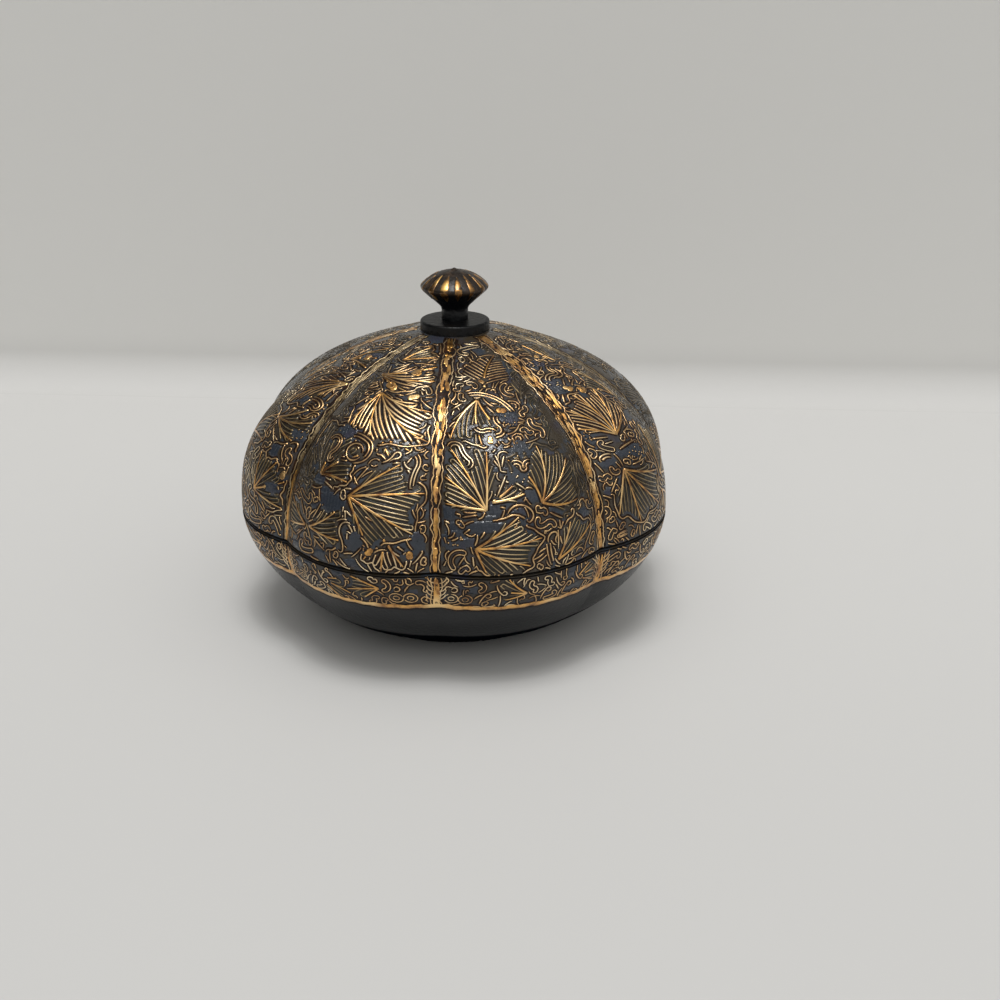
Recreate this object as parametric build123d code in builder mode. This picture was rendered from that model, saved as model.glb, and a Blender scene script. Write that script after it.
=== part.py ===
# Powder box with a lift-off lid: an eight-lobed, melon-shaped papier-mache box
# that stands on a round foot, with a turned knob on a small turned plate.
# Millimetres, +Z up. The origin is the middle of the foot's underside, and a
# valley between two lobes faces -Y.
from build123d import *
import math
import os

os.makedirs("parts", exist_ok=True)

# Body outline, measured on the crest of a lobe. Bowl and lid each follow
# (radius / RIM_RADIUS) ** end power + (height / reach) ** side power = 1.
LOBES = 8
RIM_RADIUS = 54.1          # bowl and lid where they meet
SEAM_HEIGHT = 28.8         # from the table to the seam
FOOT_HEIGHT = 1.4
LID_RISE = 41.8            # from the seam to the flat on the crown
CROWN_RADIUS = 9.0         # that flat, under the plate
LID_SIDE_POWER = 2.75      # higher keeps the lid's side upright for longer
LID_END_POWER = 1.45       # lower makes the crown more pointed
BOWL_FLAT_RADIUS = 29.8    # flat underside of the bowl
BOWL_SIDE_POWER = 1.6
BOWL_END_POWER = 3.0

# Lobes: deepest a little above the seam, fading towards crown and foot
LOBE_DEPTH = 4.2           # from crest to valley, radially, where it is deepest
LOBE_DEEPEST_ANGLE = 23.0  # degrees above the seam, seen from its centre
LOBE_FADE_RATE = 1.4
VALLEY_ROUNDING = 1.2

# Walls and the edges that meet at the seam
LID_WALL = 2.6
BOWL_WALL = 3.4
EDGE_ROUNDING = 0.6
SECTIONS = 9               # cross-sections that carry each curved shell

# Collar that stands in the bowl's mouth and guides the lid
COLLAR_WALL = 1.5
COLLAR_GAP = 0.7           # to the inside of the lid
COLLAR_DEPTH = 6.0         # below the seam
COLLAR_RISE = 3.2          # above the seam
COLLAR_CHAMFER = 0.4

# Foot
FOOT_INSET = 0.4           # the foot's edge, inside the flat of the bowl
FOOT_ROUNDING = 0.4

# Knob, its plate and what holds them
PLATE_RADIUS = 8.4
PLATE_THICKNESS = 2.4
PLATE_ROUNDING = 0.5
KNOB_RADIUS = 8.45         # sharp corner of the profile, before it is rounded
KNOB_RIM_HEIGHT = 8.0      # above the plate
KNOB_DOME = 4.0            # from that rim to the top of the dome
KNOB_ROUNDING = 0.8
NECK_RADIUS = 3.2
NECK_HEIGHT = 3.1
NECK_ROUNDING = 1.8
TIP_RADIUS = 1.1
TIP_HEIGHT = 0.5
SPIGOT_RADIUS = 2.4
SPIGOT_CLEARANCE = 0.05
SPIGOT_RECESS = 0.4        # end of the spigot, short of the inside of the crown
WASHER_RADIUS = 4.5
WASHER_THICKNESS = 0.6
SCREW_RADIUS = 1.2
SCREW_CLEARANCE = 0.05
SCREW_GRIP = 9.0           # length of the shank above the washer
SCREW_HEAD_RADIUS = 2.6
SCREW_HEAD_HEIGHT = 1.6
SCREW_HEAD_ROUNDING = 0.7
SLOT_WIDTH = 0.7
SLOT_DEPTH = 0.8
PILOT_SPARE = 1.0          # pilot hole past the end of the screw

HALF_LOBE = math.pi / LOBES


def lobe_depth(rise, radius):
    """Depth of the valleys at this height above the seam."""
    angle = math.atan2(rise, radius) - math.radians(LOBE_DEEPEST_ANGLE)
    return LOBE_DEPTH * math.cos(LOBE_FADE_RATE * angle) ** 2


def lobed_points(crest, depth, rounding):
    """Start, middle and end of the crest arc and of the valley arc of a lobe,
    in polar form about the lobe's crest line."""
    valley_centre = crest - depth + rounding
    spread = valley_centre * math.cos(HALF_LOBE)
    arc_radius = (crest ** 2 + valley_centre ** 2 - 2 * crest * spread - rounding ** 2) / (
        2 * (rounding + crest - spread)
    )
    centre = Vector(crest - arc_radius, 0)
    valley = Vector(spread, valley_centre * math.sin(HALF_LOBE))
    join = centre + (valley - centre) * (arc_radius / (arc_radius + rounding))
    bottom = Vector(crest - depth, 0).rotate(Axis.Z, math.degrees(HALF_LOBE))
    return Vector(crest, 0), join, bottom


def lobed_section(height, crest, depth, rounding):
    """Flat lobed face at this height: a crest arc and a valley arc for each lobe."""
    top, join, bottom = lobed_points(crest, depth, rounding)
    mirrored = Vector(join.X, -join.Y)
    lobe_angle = math.degrees(2 * HALF_LOBE)
    with BuildSketch(Plane.XY.offset(height)) as section:
        with BuildLine():
            for lobe in range(LOBES):
                turn = lobe_angle * (lobe + 0.5) - 90
                crest_arc = [p.rotate(Axis.Z, turn) for p in (mirrored, top, join)]
                valley_end = mirrored.rotate(Axis.Z, turn + lobe_angle)
                ThreePointArc(*crest_arc)
                ThreePointArc(crest_arc[2], bottom.rotate(Axis.Z, turn), valley_end)
        make_face()
    return section.sketch


def shell_stations(height, end_radius, side_power, end_power, wall):
    """Height from the seam and crest radius of each cross-section of a skin
    that lies inside the outline by the wall, from the seam to its flat end."""
    reach = height / (1 - (end_radius / RIM_RADIUS) ** end_power) ** (1 / side_power)
    last = math.acos((end_radius / RIM_RADIUS) ** (end_power / 2))
    stations = []
    for step in range(SECTIONS):
        angle = last * step / (SECTIONS - 1)
        radius = RIM_RADIUS * math.cos(angle) ** (2 / end_power)
        rise = reach * math.sin(angle) ** (2 / side_power)
        normal_out = end_power * radius ** (end_power - 1) / RIM_RADIUS ** end_power
        normal_up = side_power * rise ** (side_power - 1) / reach ** side_power
        share = wall / math.hypot(normal_out, normal_up)
        stations.append((rise - share * normal_up, radius - share * normal_out))
    return stations


def lid_stations(wall):
    """Cross-sections of the lid's skin, or of its lining when there is a wall."""
    return shell_stations(LID_RISE, CROWN_RADIUS, LID_SIDE_POWER, LID_END_POWER, wall)


def bowl_stations(wall):
    """The same for the bowl."""
    drop = SEAM_HEIGHT - FOOT_HEIGHT
    return shell_stations(drop, BOWL_FLAT_RADIUS, BOWL_SIDE_POWER, BOWL_END_POWER, wall)


def curved_solid(stations, side, wall):
    """Smooth solid through the cross-sections; side is 1 above the seam, -1 below."""
    with BuildPart() as solid:
        for rise, radius in stations:
            depth = lobe_depth(side * rise, radius)
            height = SEAM_HEIGHT + side * rise
            add(lobed_section(height, radius, depth, VALLEY_ROUNDING + wall))
        loft()
    return solid.part


def rounded_rim(side):
    """Ring-shaped band at the seam whose outer edge is drawn in by a quarter round."""
    depth = lobe_depth(side * EDGE_ROUNDING, RIM_RADIUS)
    with BuildPart() as band:
        for turn in (0, 45, 90):
            inset = EDGE_ROUNDING * (1 - math.cos(math.radians(turn)))
            rise = EDGE_ROUNDING * (1 - math.sin(math.radians(turn)))
            height = SEAM_HEIGHT + side * rise
            add(lobed_section(height, RIM_RADIUS - inset, depth, VALLEY_ROUNDING + inset))
        loft(ruled=True)
    return band.part


# Skins and the heights that follow from them
lid_skin = lid_stations(0)
lid_lining = lid_stations(LID_WALL)
bowl_skin = bowl_stations(0)
bowl_lining = bowl_stations(BOWL_WALL)
crown_height = SEAM_HEIGHT + LID_RISE
crown_ceiling = SEAM_HEIGHT + lid_lining[-1][0]
plate_top = crown_height + PLATE_THICKNESS

# Collar outline, an even gap inside the lid's lining at the seam
seam_depth = lobe_depth(0, RIM_RADIUS)
collar_inset = LID_WALL + COLLAR_GAP
collar_bottom = SEAM_HEIGHT - COLLAR_DEPTH
collar_height = COLLAR_DEPTH + COLLAR_RISE


def collar_section(inset):
    """Section of the collar at its bottom, drawn in from the box's outline."""
    return lobed_section(
        collar_bottom, RIM_RADIUS - inset, seam_depth, VALLEY_ROUNDING + inset
    )


collar_outside = collar_section(collar_inset)
collar_inside = collar_section(collar_inset + COLLAR_WALL)

# Bowl, rebated at its mouth for the collar
bowl_outside = curved_solid([(EDGE_ROUNDING, RIM_RADIUS)] + bowl_skin[1:], -1, 0)
bowl_inside = curved_solid(bowl_lining, -1, BOWL_WALL)
bowl_rim = rounded_rim(-1)
with BuildPart() as bowl_shell:
    add(bowl_outside)
    add(bowl_rim)
    add(bowl_inside, mode=Mode.SUBTRACT)
    add(collar_outside)
    extrude(amount=COLLAR_DEPTH, mode=Mode.SUBTRACT)
bowl_shell.part.label = "bowl_shell"
export_step(bowl_shell.part, "parts/bowl_shell.step")

# Foot, a flat disc under the bowl
with BuildPart() as foot_disc:
    foot_radius = BOWL_FLAT_RADIUS - FOOT_INSET
    Cylinder(foot_radius, FOOT_HEIGHT, align=(Align.CENTER, Align.CENTER, Align.MIN))
    fillet(foot_disc.edges().group_by(Axis.Z)[0], FOOT_ROUNDING)
foot_disc.part.label = "foot_disc"
export_step(foot_disc.part, "parts/foot_disc.step")

# Collar, straight-sided, seated in the bowl's rebate
with BuildPart() as mouth_collar:
    add(collar_outside)
    extrude(amount=collar_height)
    add(collar_inside)
    extrude(amount=collar_height, mode=Mode.SUBTRACT)
    top_rim = mouth_collar.faces().sort_by(Axis.Z)[-1]
    chamfer(top_rim.outer_wire().edges(), COLLAR_CHAMFER)
mouth_collar.part.label = "mouth_collar"
export_step(mouth_collar.part, "parts/mouth_collar.step")

# Lid, with a hole in its crown for the knob's spigot
lid_outside = curved_solid([(EDGE_ROUNDING, RIM_RADIUS)] + lid_skin[1:], 1, 0)
lid_inside = curved_solid(lid_lining, 1, LID_WALL)
lid_rim = rounded_rim(1)
spigot_hole = SPIGOT_RADIUS + SPIGOT_CLEARANCE
with BuildPart() as lid_shell:
    add(lid_outside)
    add(lid_rim)
    add(lid_inside, mode=Mode.SUBTRACT)
    with Locations((0, 0, crown_height)):
        Hole(spigot_hole)
lid_shell.part.label = "lid_shell"
export_step(lid_shell.part, "parts/lid_shell.step")

# Plate between lid and knob
with BuildPart() as knob_plate:
    with Locations((0, 0, crown_height)):
        Cylinder(PLATE_RADIUS, PLATE_THICKNESS, align=(Align.CENTER, Align.CENTER, Align.MIN))
    fillet(knob_plate.edges().group_by(Axis.Z)[-1], PLATE_ROUNDING)
    with Locations((0, 0, plate_top)):
        Hole(spigot_hole)
knob_plate.part.label = "knob_plate"
export_step(knob_plate.part, "parts/knob_plate.step")

# Knob, turned in one piece with its neck and spigot
spigot_end = crown_ceiling + SPIGOT_RECESS
knob_rim_z = plate_top + KNOB_RIM_HEIGHT
dome_radius = (KNOB_RADIUS ** 2 + KNOB_DOME ** 2) / (2 * KNOB_DOME)
dome_centre_z = knob_rim_z + KNOB_DOME - dome_radius
tip_base_z = dome_centre_z + math.sqrt(dome_radius ** 2 - TIP_RADIUS ** 2)
dome_lean = math.atan2(KNOB_RADIUS, knob_rim_z - dome_centre_z) / 2
dome_middle = (dome_radius * math.sin(dome_lean), dome_centre_z + dome_radius * math.cos(dome_lean))
tip_z = knob_rim_z + KNOB_DOME + TIP_HEIGHT
neck_corner = (NECK_RADIUS, plate_top + NECK_HEIGHT)
rim_corner = (KNOB_RADIUS, knob_rim_z)
tip_base = (TIP_RADIUS, tip_base_z)
washer_bottom = crown_ceiling - WASHER_THICKNESS
pilot_top = crown_ceiling + SCREW_GRIP + PILOT_SPARE
with BuildPart() as knob:
    with BuildSketch(Plane.XZ) as knob_profile:
        with BuildLine():
            Polyline(
                tip_base,
                (0, tip_z),
                (0, spigot_end),
                (SPIGOT_RADIUS, spigot_end),
                (SPIGOT_RADIUS, plate_top),
                (NECK_RADIUS, plate_top),
                neck_corner,
                rim_corner,
            )
            ThreePointArc(rim_corner, dome_middle, tip_base)
        make_face()
        fillet(knob_profile.vertices().sort_by_distance(neck_corner)[0], NECK_ROUNDING)
        fillet(knob_profile.vertices().sort_by_distance(rim_corner)[0], KNOB_ROUNDING)
    revolve(axis=Axis.Z)
    with Locations((0, 0, spigot_end)):
        Cylinder(
            SCREW_RADIUS + SCREW_CLEARANCE,
            pilot_top - spigot_end,
            align=(Align.CENTER, Align.CENTER, Align.MIN),
            mode=Mode.SUBTRACT,
        )
knob.part.label = "knob"
export_step(knob.part, "parts/knob.step")

# Washer against the inside of the crown
with BuildPart() as knob_washer:
    with Locations((0, 0, washer_bottom)):
        Cylinder(WASHER_RADIUS, WASHER_THICKNESS, align=(Align.CENTER, Align.CENTER, Align.MIN))
    with Locations((0, 0, crown_ceiling)):
        Hole(SCREW_RADIUS + SCREW_CLEARANCE)
knob_washer.part.label = "knob_washer"
export_step(knob_washer.part, "parts/knob_washer.step")

# Pan-head screw that goes up through washer and crown into the knob
with BuildPart() as knob_screw:
    with Locations((0, 0, washer_bottom)):
        Cylinder(
            SCREW_HEAD_RADIUS,
            SCREW_HEAD_HEIGHT,
            align=(Align.CENTER, Align.CENTER, Align.MAX),
        )
    fillet(knob_screw.edges().group_by(Axis.Z)[0], SCREW_HEAD_ROUNDING)
    with Locations((0, 0, washer_bottom)):
        Cylinder(
            SCREW_RADIUS,
            WASHER_THICKNESS + SCREW_GRIP,
            align=(Align.CENTER, Align.CENTER, Align.MIN),
        )
    with Locations((0, 0, washer_bottom - SCREW_HEAD_HEIGHT)):
        Box(
            2 * SCREW_HEAD_RADIUS,
            SLOT_WIDTH,
            SLOT_DEPTH,
            align=(Align.CENTER, Align.CENTER, Align.MIN),
            mode=Mode.SUBTRACT,
        )
knob_screw.part.label = "knob_screw"
export_step(knob_screw.part, "parts/knob_screw.step")

# What the sizes come to
print(f"seam {SEAM_HEIGHT:.2f}, crown {crown_height:.2f}, inside of crown {crown_ceiling:.2f}")
print(f"plate top {plate_top:.2f}, tip of knob {tip_z:.2f}, foot radius {foot_radius:.2f}")
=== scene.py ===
# %% [markdown]
# Powder box of lacquered papier-mache
#
# The real box is made of paper pulp pressed over a melon-shaped mould, sanded, coated in
# brown-black lacquer with slate between, painted with a fine brush in gold, and varnished. Its
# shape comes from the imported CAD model. What Blender adds is the painter's and the varnisher's
# work: the gold leaves, scrolls, stripes and dots as thin raised paint, the shading under them,
# and the depth of the lacquer.

import math
import random

import bpy
import numpy as np
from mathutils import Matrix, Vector
from mathutils.bvhtree import BVHTree


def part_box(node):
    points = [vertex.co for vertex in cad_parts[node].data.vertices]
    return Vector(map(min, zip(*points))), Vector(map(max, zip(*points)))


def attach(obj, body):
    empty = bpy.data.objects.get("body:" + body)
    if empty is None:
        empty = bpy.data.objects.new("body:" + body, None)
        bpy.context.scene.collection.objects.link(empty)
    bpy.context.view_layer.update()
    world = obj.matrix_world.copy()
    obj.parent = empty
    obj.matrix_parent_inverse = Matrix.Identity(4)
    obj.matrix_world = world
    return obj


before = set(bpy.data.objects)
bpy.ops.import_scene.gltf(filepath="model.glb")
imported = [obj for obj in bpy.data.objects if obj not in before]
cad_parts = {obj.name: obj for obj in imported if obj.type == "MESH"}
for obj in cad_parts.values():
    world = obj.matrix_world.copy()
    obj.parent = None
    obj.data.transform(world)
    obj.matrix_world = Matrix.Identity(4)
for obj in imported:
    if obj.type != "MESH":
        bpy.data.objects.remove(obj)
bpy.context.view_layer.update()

MM = 0.001
LOBES = 8
LOBE_ANGLE = 2 * math.pi / LOBES
HALF_LOBE = LOBE_ANGLE / 2
SEAM_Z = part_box("lid_shell")[0].z

# %% [markdown]
# Camera
#
# A close-up taken from the front and a little above, with one valley between two lobes nearly
# facing the lens. The place and lens come from matching the outline, the seam and the valley
# lines with the CAD model, so they are set as plain numbers. A normal lens on a full-frame
# sensor gives the same perspective as the photograph, which is why the near lobes look larger.

# %% Camera
SIDE_ANGLE = math.radians(5.616)
CAMERA_REACH = 307.45 * MM
CAMERA_HEIGHT = 152.03 * MM
LOOK_SIDE = math.radians(-3.579)
LOOK_DOWN = math.radians(22.391)
LENS_LENGTH = 46.68        # mm, on a sensor 36 mm wide
SENSOR_WIDTH = 36.0

lens = bpy.data.cameras.new("close_up_lens")
lens.lens = LENS_LENGTH
lens.sensor_width = SENSOR_WIDTH
lens.clip_start = 0.01
lens.clip_end = 20.0
camera = bpy.data.objects.new("camera", lens)
bpy.context.scene.collection.objects.link(camera)
camera.location = (
    CAMERA_REACH * math.sin(SIDE_ANGLE),
    -CAMERA_REACH * math.cos(SIDE_ANGLE),
    CAMERA_HEIGHT,
)
look = Vector((
    math.sin(LOOK_SIDE) * math.cos(LOOK_DOWN),
    math.cos(LOOK_SIDE) * math.cos(LOOK_DOWN),
    -math.sin(LOOK_DOWN),
))
camera.rotation_mode = "QUATERNION"
camera.rotation_quaternion = look.to_track_quat("-Z", "Y")
bpy.context.scene.camera = camera
print("camera", [round(v / MM) for v in camera.location], "mm, lens", lens.lens)

# %% [markdown]
# Colours and nodes
#
# Colours are written as the hex values one would read from a picture on a screen, and Blender
# computes with linear light, so one function turns the one into the other. Another small
# function adds a node with its settings and links, so each material reads as a short recipe.

# %% Helpers for materials
def linear(hex_colour):
    """A screen colour such as #d9963f as the linear red, green, blue and alpha of a socket."""
    parts = [int(hex_colour[i:i + 2], 16) / 255 for i in (1, 3, 5)]
    return [p / 12.92 if p <= 0.04045 else ((p + 0.055) / 1.055) ** 2.4 for p in parts] + [1.0]


def add_node(tree, kind, settings=None, values=None, links=None):
    """Adds a node, sets its own settings and socket values, and links its inputs."""
    made = tree.nodes.new(kind)
    for name, value in (settings or {}).items():
        setattr(made, name, value)
    for socket, value in (values or {}).items():
        made.inputs[socket].default_value = value
    for socket, source in (links or {}).items():
        tree.links.new(source, made.inputs[socket])
    return made


def new_finish(name, values):
    """A material with its Principled shader set to these values; returns all three."""
    finish = bpy.data.materials.new(name)
    finish.use_nodes = True
    shader = finish.node_tree.nodes["Principled BSDF"]
    for socket, value in values.items():
        shader.inputs[socket].default_value = value
    return finish, finish.node_tree, shader


def per_size(millimetres):
    """Noise scale at which one feature is about this large, as coordinates are in metres."""
    return 1.0 / (millimetres * MM)


MIX_A, MIX_B, MIX_COLOUR = 6, 7, 2     # a Mix node's two colours going in, and the one coming out

# %% [markdown]
# Dabs, relief and height
#
# Lacquer and gold are both laid on by hand, so neither is one even colour, and neither lies quite
# flat. Every finish of this box is made from the same few steps: soft-edged dabs of one colour over
# another, a fine relief that bends the reflections in the varnish, and now and then a change at
# some height above the table. One function for each step keeps the recipes below short. Painted
# pictures could do the same, but noise in the piece's own space needs no unwrapping, has no seam,
# and its dabs can be given a size in millimetres.

# %% Dabs of colour, brushed relief and a step in height
def dabbed(tree, place, under, over, dab_mm, low=0.0, high=1.0, most=1.0, detail=2.0, rough=0.5):
    """Colour over, in soft dabs about this large, on colour under; returns the output.

    under is a hex colour or the output of what lies below. A dab starts where the noise passes
    low, and from high on it covers by its fullest share, most.
    """
    noise = add_node(
        tree, "ShaderNodeTexNoise",
        values={"Scale": per_size(dab_mm), "Detail": detail, "Roughness": rough},
        links={"Vector": place},
    )
    share = add_node(
        tree, "ShaderNodeMapRange",
        values={"From Min": low, "From Max": high, "To Max": most},
        links={"Value": noise.outputs["Fac"]},
    )
    mix = add_node(
        tree, "ShaderNodeMix", {"data_type": "RGBA"}, {MIX_B: linear(over)},
        {"Factor": share.outputs["Result"]},
    )
    if isinstance(under, str):
        mix.inputs[MIX_A].default_value = linear(under)
    else:
        tree.links.new(under, mix.inputs[MIX_A])
    return mix.outputs[MIX_COLOUR]


def add_relief(tree, place, shader, grain_mm, depth_mm, strength, detail):
    """Waves or grain of this size and depth, in the surface and in the varnish over it."""
    grain = add_node(
        tree, "ShaderNodeTexNoise",
        values={"Scale": per_size(grain_mm), "Detail": detail},
        links={"Vector": place},
    )
    relief = add_node(
        tree, "ShaderNodeBump",
        values={"Strength": strength, "Distance": depth_mm * MM},
        links={"Height": grain.outputs["Fac"]},
    )
    for socket in ("Normal", "Coat Normal"):
        tree.links.new(relief.outputs["Normal"], shader.inputs[socket])


STEP_BLUR = 0.3 * MM                   # each way, as a brushed edge has


def above_height(tree, place, height, most):
    """0 below this height in metres and most above it."""
    parts = add_node(tree, "ShaderNodeSeparateXYZ", links={"Vector": place})
    step = add_node(
        tree, "ShaderNodeMapRange",
        values={"From Min": height - STEP_BLUR, "From Max": height + STEP_BLUR, "To Max": most},
        links={"Value": parts.outputs["Z"]},
    )
    return step.outputs["Result"]


# %% [markdown]
# Ground lacquer
#
# Several thin coats of oil lacquer, rubbed down and varnished. Under the varnish they show as
# cloudy patches a few millimetres across: warm brown-black for the most part, slate between, and
# some violet. The varnish is what makes it glossy: a clear coat with slight waves left by the
# brush, so reflections wobble a little. Typical lacquer has an IOR of 1.5.
#
# The bowl is plain black below its painted band. Its lowest part, up to about 9 mm above the table, is
# matt as painted shade: it reflects nothing and reads as a dark line on the table, where the foot
# stands in the shadow under the bowl.

# %% Ground lacquer of the lid and bowl
LACQUER_IOR = 1.5
COLOUR_SHINE = 0.1         # the pigment under the varnish hardly reflects on its own
PLAIN_BLACK = "#06080b"


def clouded_lacquer(
    name, dark, middle, tint, cloud_mm, gloss, haze=0.06, black_below=None, shade_matt_below=None,
):
    """Lacquer in three cloudy colours; gloss and haze are the weight and roughness of its varnish."""
    finish, tree, shader = new_finish(name, {
        "Roughness": 0.5,
        "IOR": LACQUER_IOR,
        "Specular IOR Level": COLOUR_SHINE,
        "Coat Weight": gloss,
        "Coat Roughness": haze,
        "Coat IOR": LACQUER_IOR,
    })
    place = add_node(tree, "ShaderNodeTexCoord").outputs["Object"]
    colour = dabbed(tree, place, dark, middle, cloud_mm, 0.48, 0.62, detail=3.0, rough=0.55)
    colour = dabbed(tree, place, colour, tint, cloud_mm * 1.7, 0.55, 0.70, most=0.8)
    add_relief(tree, place, shader, grain_mm=1.0, depth_mm=0.15, strength=1.0, detail=3.0)
    if black_below is not None:
        painted = add_node(
            tree, "ShaderNodeMix", {"data_type": "RGBA"},
            {MIX_A: linear(PLAIN_BLACK)},
            {"Factor": above_height(tree, place, black_below, 1.0), MIX_B: colour},
        )
        colour = painted.outputs[MIX_COLOUR]
    # painted shade: below this height the varnish and the shine of the colour are taken away
    if shade_matt_below is not None:
        for socket, most in (("Coat Weight", gloss), ("Specular IOR Level", COLOUR_SHINE)):
            shine = above_height(tree, place, shade_matt_below, most)
            tree.links.new(shine, shader.inputs[socket])
    tree.links.new(colour, shader.inputs["Base Color"])
    return finish


BAND_DEPTH = 8.3 * MM      # the clouded ground reaches this far under the seam
MATT_SHADE_HEIGHT = 9.1 * MM   # above the table: the bowl is matt below it, as painted shade
GROUND = ("#332b1f", "#2b3139", "#2c2936")
ground = clouded_lacquer("ground_lacquer", *GROUND, 4.0, 0.8)
bowl_ground = clouded_lacquer(
    "bowl_lacquer", *GROUND, 4.0, 0.5, 0.14, SEAM_Z - BAND_DEPTH, MATT_SHADE_HEIGHT,
)
print("ground lacquer made")

# %% [markdown]
# Shading under the gold
#
# Before the gold goes on, the painter lays thin umber under each leaf and along each line, so the
# gold stands on a warm dark brown. Where the ground is left open between the ornament, it gets an
# oval of slate blue instead. All of it is varnished with the rest, the umber along the lines least.

# %% Umber under leaves and lines, slate on open ground
leaf_umber = clouded_lacquer("leaf_umber", "#1b140a", "#2d2416", "#20221a", 3.0, 0.5)
line_umber = clouded_lacquer("line_umber", "#150a04", "#2c1709", "#170d05", 1.5, 0.2, 0.2)
slate_lacquer = clouded_lacquer("slate_lacquer", "#262b33", "#2b3038", "#2f2c3a", 3.0, 0.8)
WASH, EDGE, SLATE = 0, 1, 2
SHADING = (leaf_umber, line_umber, slate_lacquer)
print("shading made:", [finish.name for finish in SHADING])

# %% [markdown]
# Gold paint
#
# Bronze powder in varnish, brushed on: metal flakes that lie unevenly, so it is brighter and
# yellower where thick and browner where thin. A metallic shader with mid roughness gives the
# flakes, and the varnish over it is the clear coat. The same pot gives several tones: full on the
# ribs and lines, and thin on the veins of the leaves. A fourth, dark tone is painted shade on one
# flank of each lobe.

# %% Gold paint
def gold_paint(name, thin, thick, pale, patch_mm, rough):
    """Gold that is thin, thick or pale in patches of this size."""
    finish, tree, shader = new_finish(name, {
        "Metallic": 1.0,
        "Roughness": rough,
        "Coat Weight": 0.6,
        "Coat Roughness": 0.1,
    })
    place = add_node(tree, "ShaderNodeTexCoord").outputs["Object"]
    colour = dabbed(tree, place, thin, thick, patch_mm, 0.36, 0.56, detail=3.0, rough=0.6)
    colour = dabbed(tree, place, colour, pale, patch_mm * 3.0, 0.5, 0.68, detail=1.0)
    add_relief(tree, place, shader, grain_mm=0.35, depth_mm=0.04, strength=0.5, detail=2.0)
    tree.links.new(colour, shader.inputs["Base Color"])
    return finish


line_gold = gold_paint("line_gold", "#967048", "#dcb47c", "#efd8ae", 3.0, 0.32)
rib_gold = gold_paint("rib_gold", "#96683a", "#dda658", "#efc88a", 2.2, 0.32)
vein_gold = gold_paint("vein_gold", "#5c4e36", "#9a8258", "#ccb48a", 2.6, 0.35)
# painted shade: darker gold laid on one flank of each lobe to make that flank read as shaded
shaded_flank_gold = gold_paint("shaded_flank_gold", "#3f3527", "#6e5e46", "#8f7c5e", 2.6, 0.4)
petal_gold = gold_paint("petal_gold", "#33251a", "#8c6532", "#d6a95e", 1.2, 0.36)
LINE, RIB, VEIN, SHADED_FLANK = 0, 1, 2, 3
GILDING = (line_gold, rib_gold, vein_gold, shaded_flank_gold)
print("gold paints made:", [finish.name for finish in GILDING])

# %% [markdown]
# Where the painter works: a flat chart of one lobe
#
# All eight lobes have the same shape, so one chart serves them all. Its y runs up the crest from
# the seam in millimetres, its x round the lobe at the crest's radius. Rays shot inwards at each
# grid point find the real surface of the CAD solid and its direction. A stroke drawn in the
# chart is then carried onto the lobe, so gold follows every curve and stays in the paint layer.
# A Shrinkwrap modifier could press strokes onto the lid too, but it would not tell how far it is
# to the next valley, which the chart does.

# %% Rays onto the CAD solids
RAY_START = 150 * MM       # outside the whole box


def surface_tree(node):
    """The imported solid's triangles, ready for rays."""
    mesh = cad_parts[node].data
    mesh.calc_loop_triangles()
    points = [v.co.copy() for v in mesh.vertices]
    triangles = [tuple(t.vertices) for t in mesh.loop_triangles]
    return BVHTree.FromPolygons(points, triangles)


def ray_hit(tree, origin_z, azimuth, elevation):
    """Nearest surface point from outside, along a line towards the axis, with its direction."""
    way = Vector((
        math.sin(azimuth) * math.cos(elevation),
        -math.cos(azimuth) * math.cos(elevation),
        math.sin(elevation),
    ))
    start = Vector((0, 0, origin_z)) + way * RAY_START
    place, normal, _, _ = tree.ray_cast(start, -way)
    return place, normal


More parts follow.
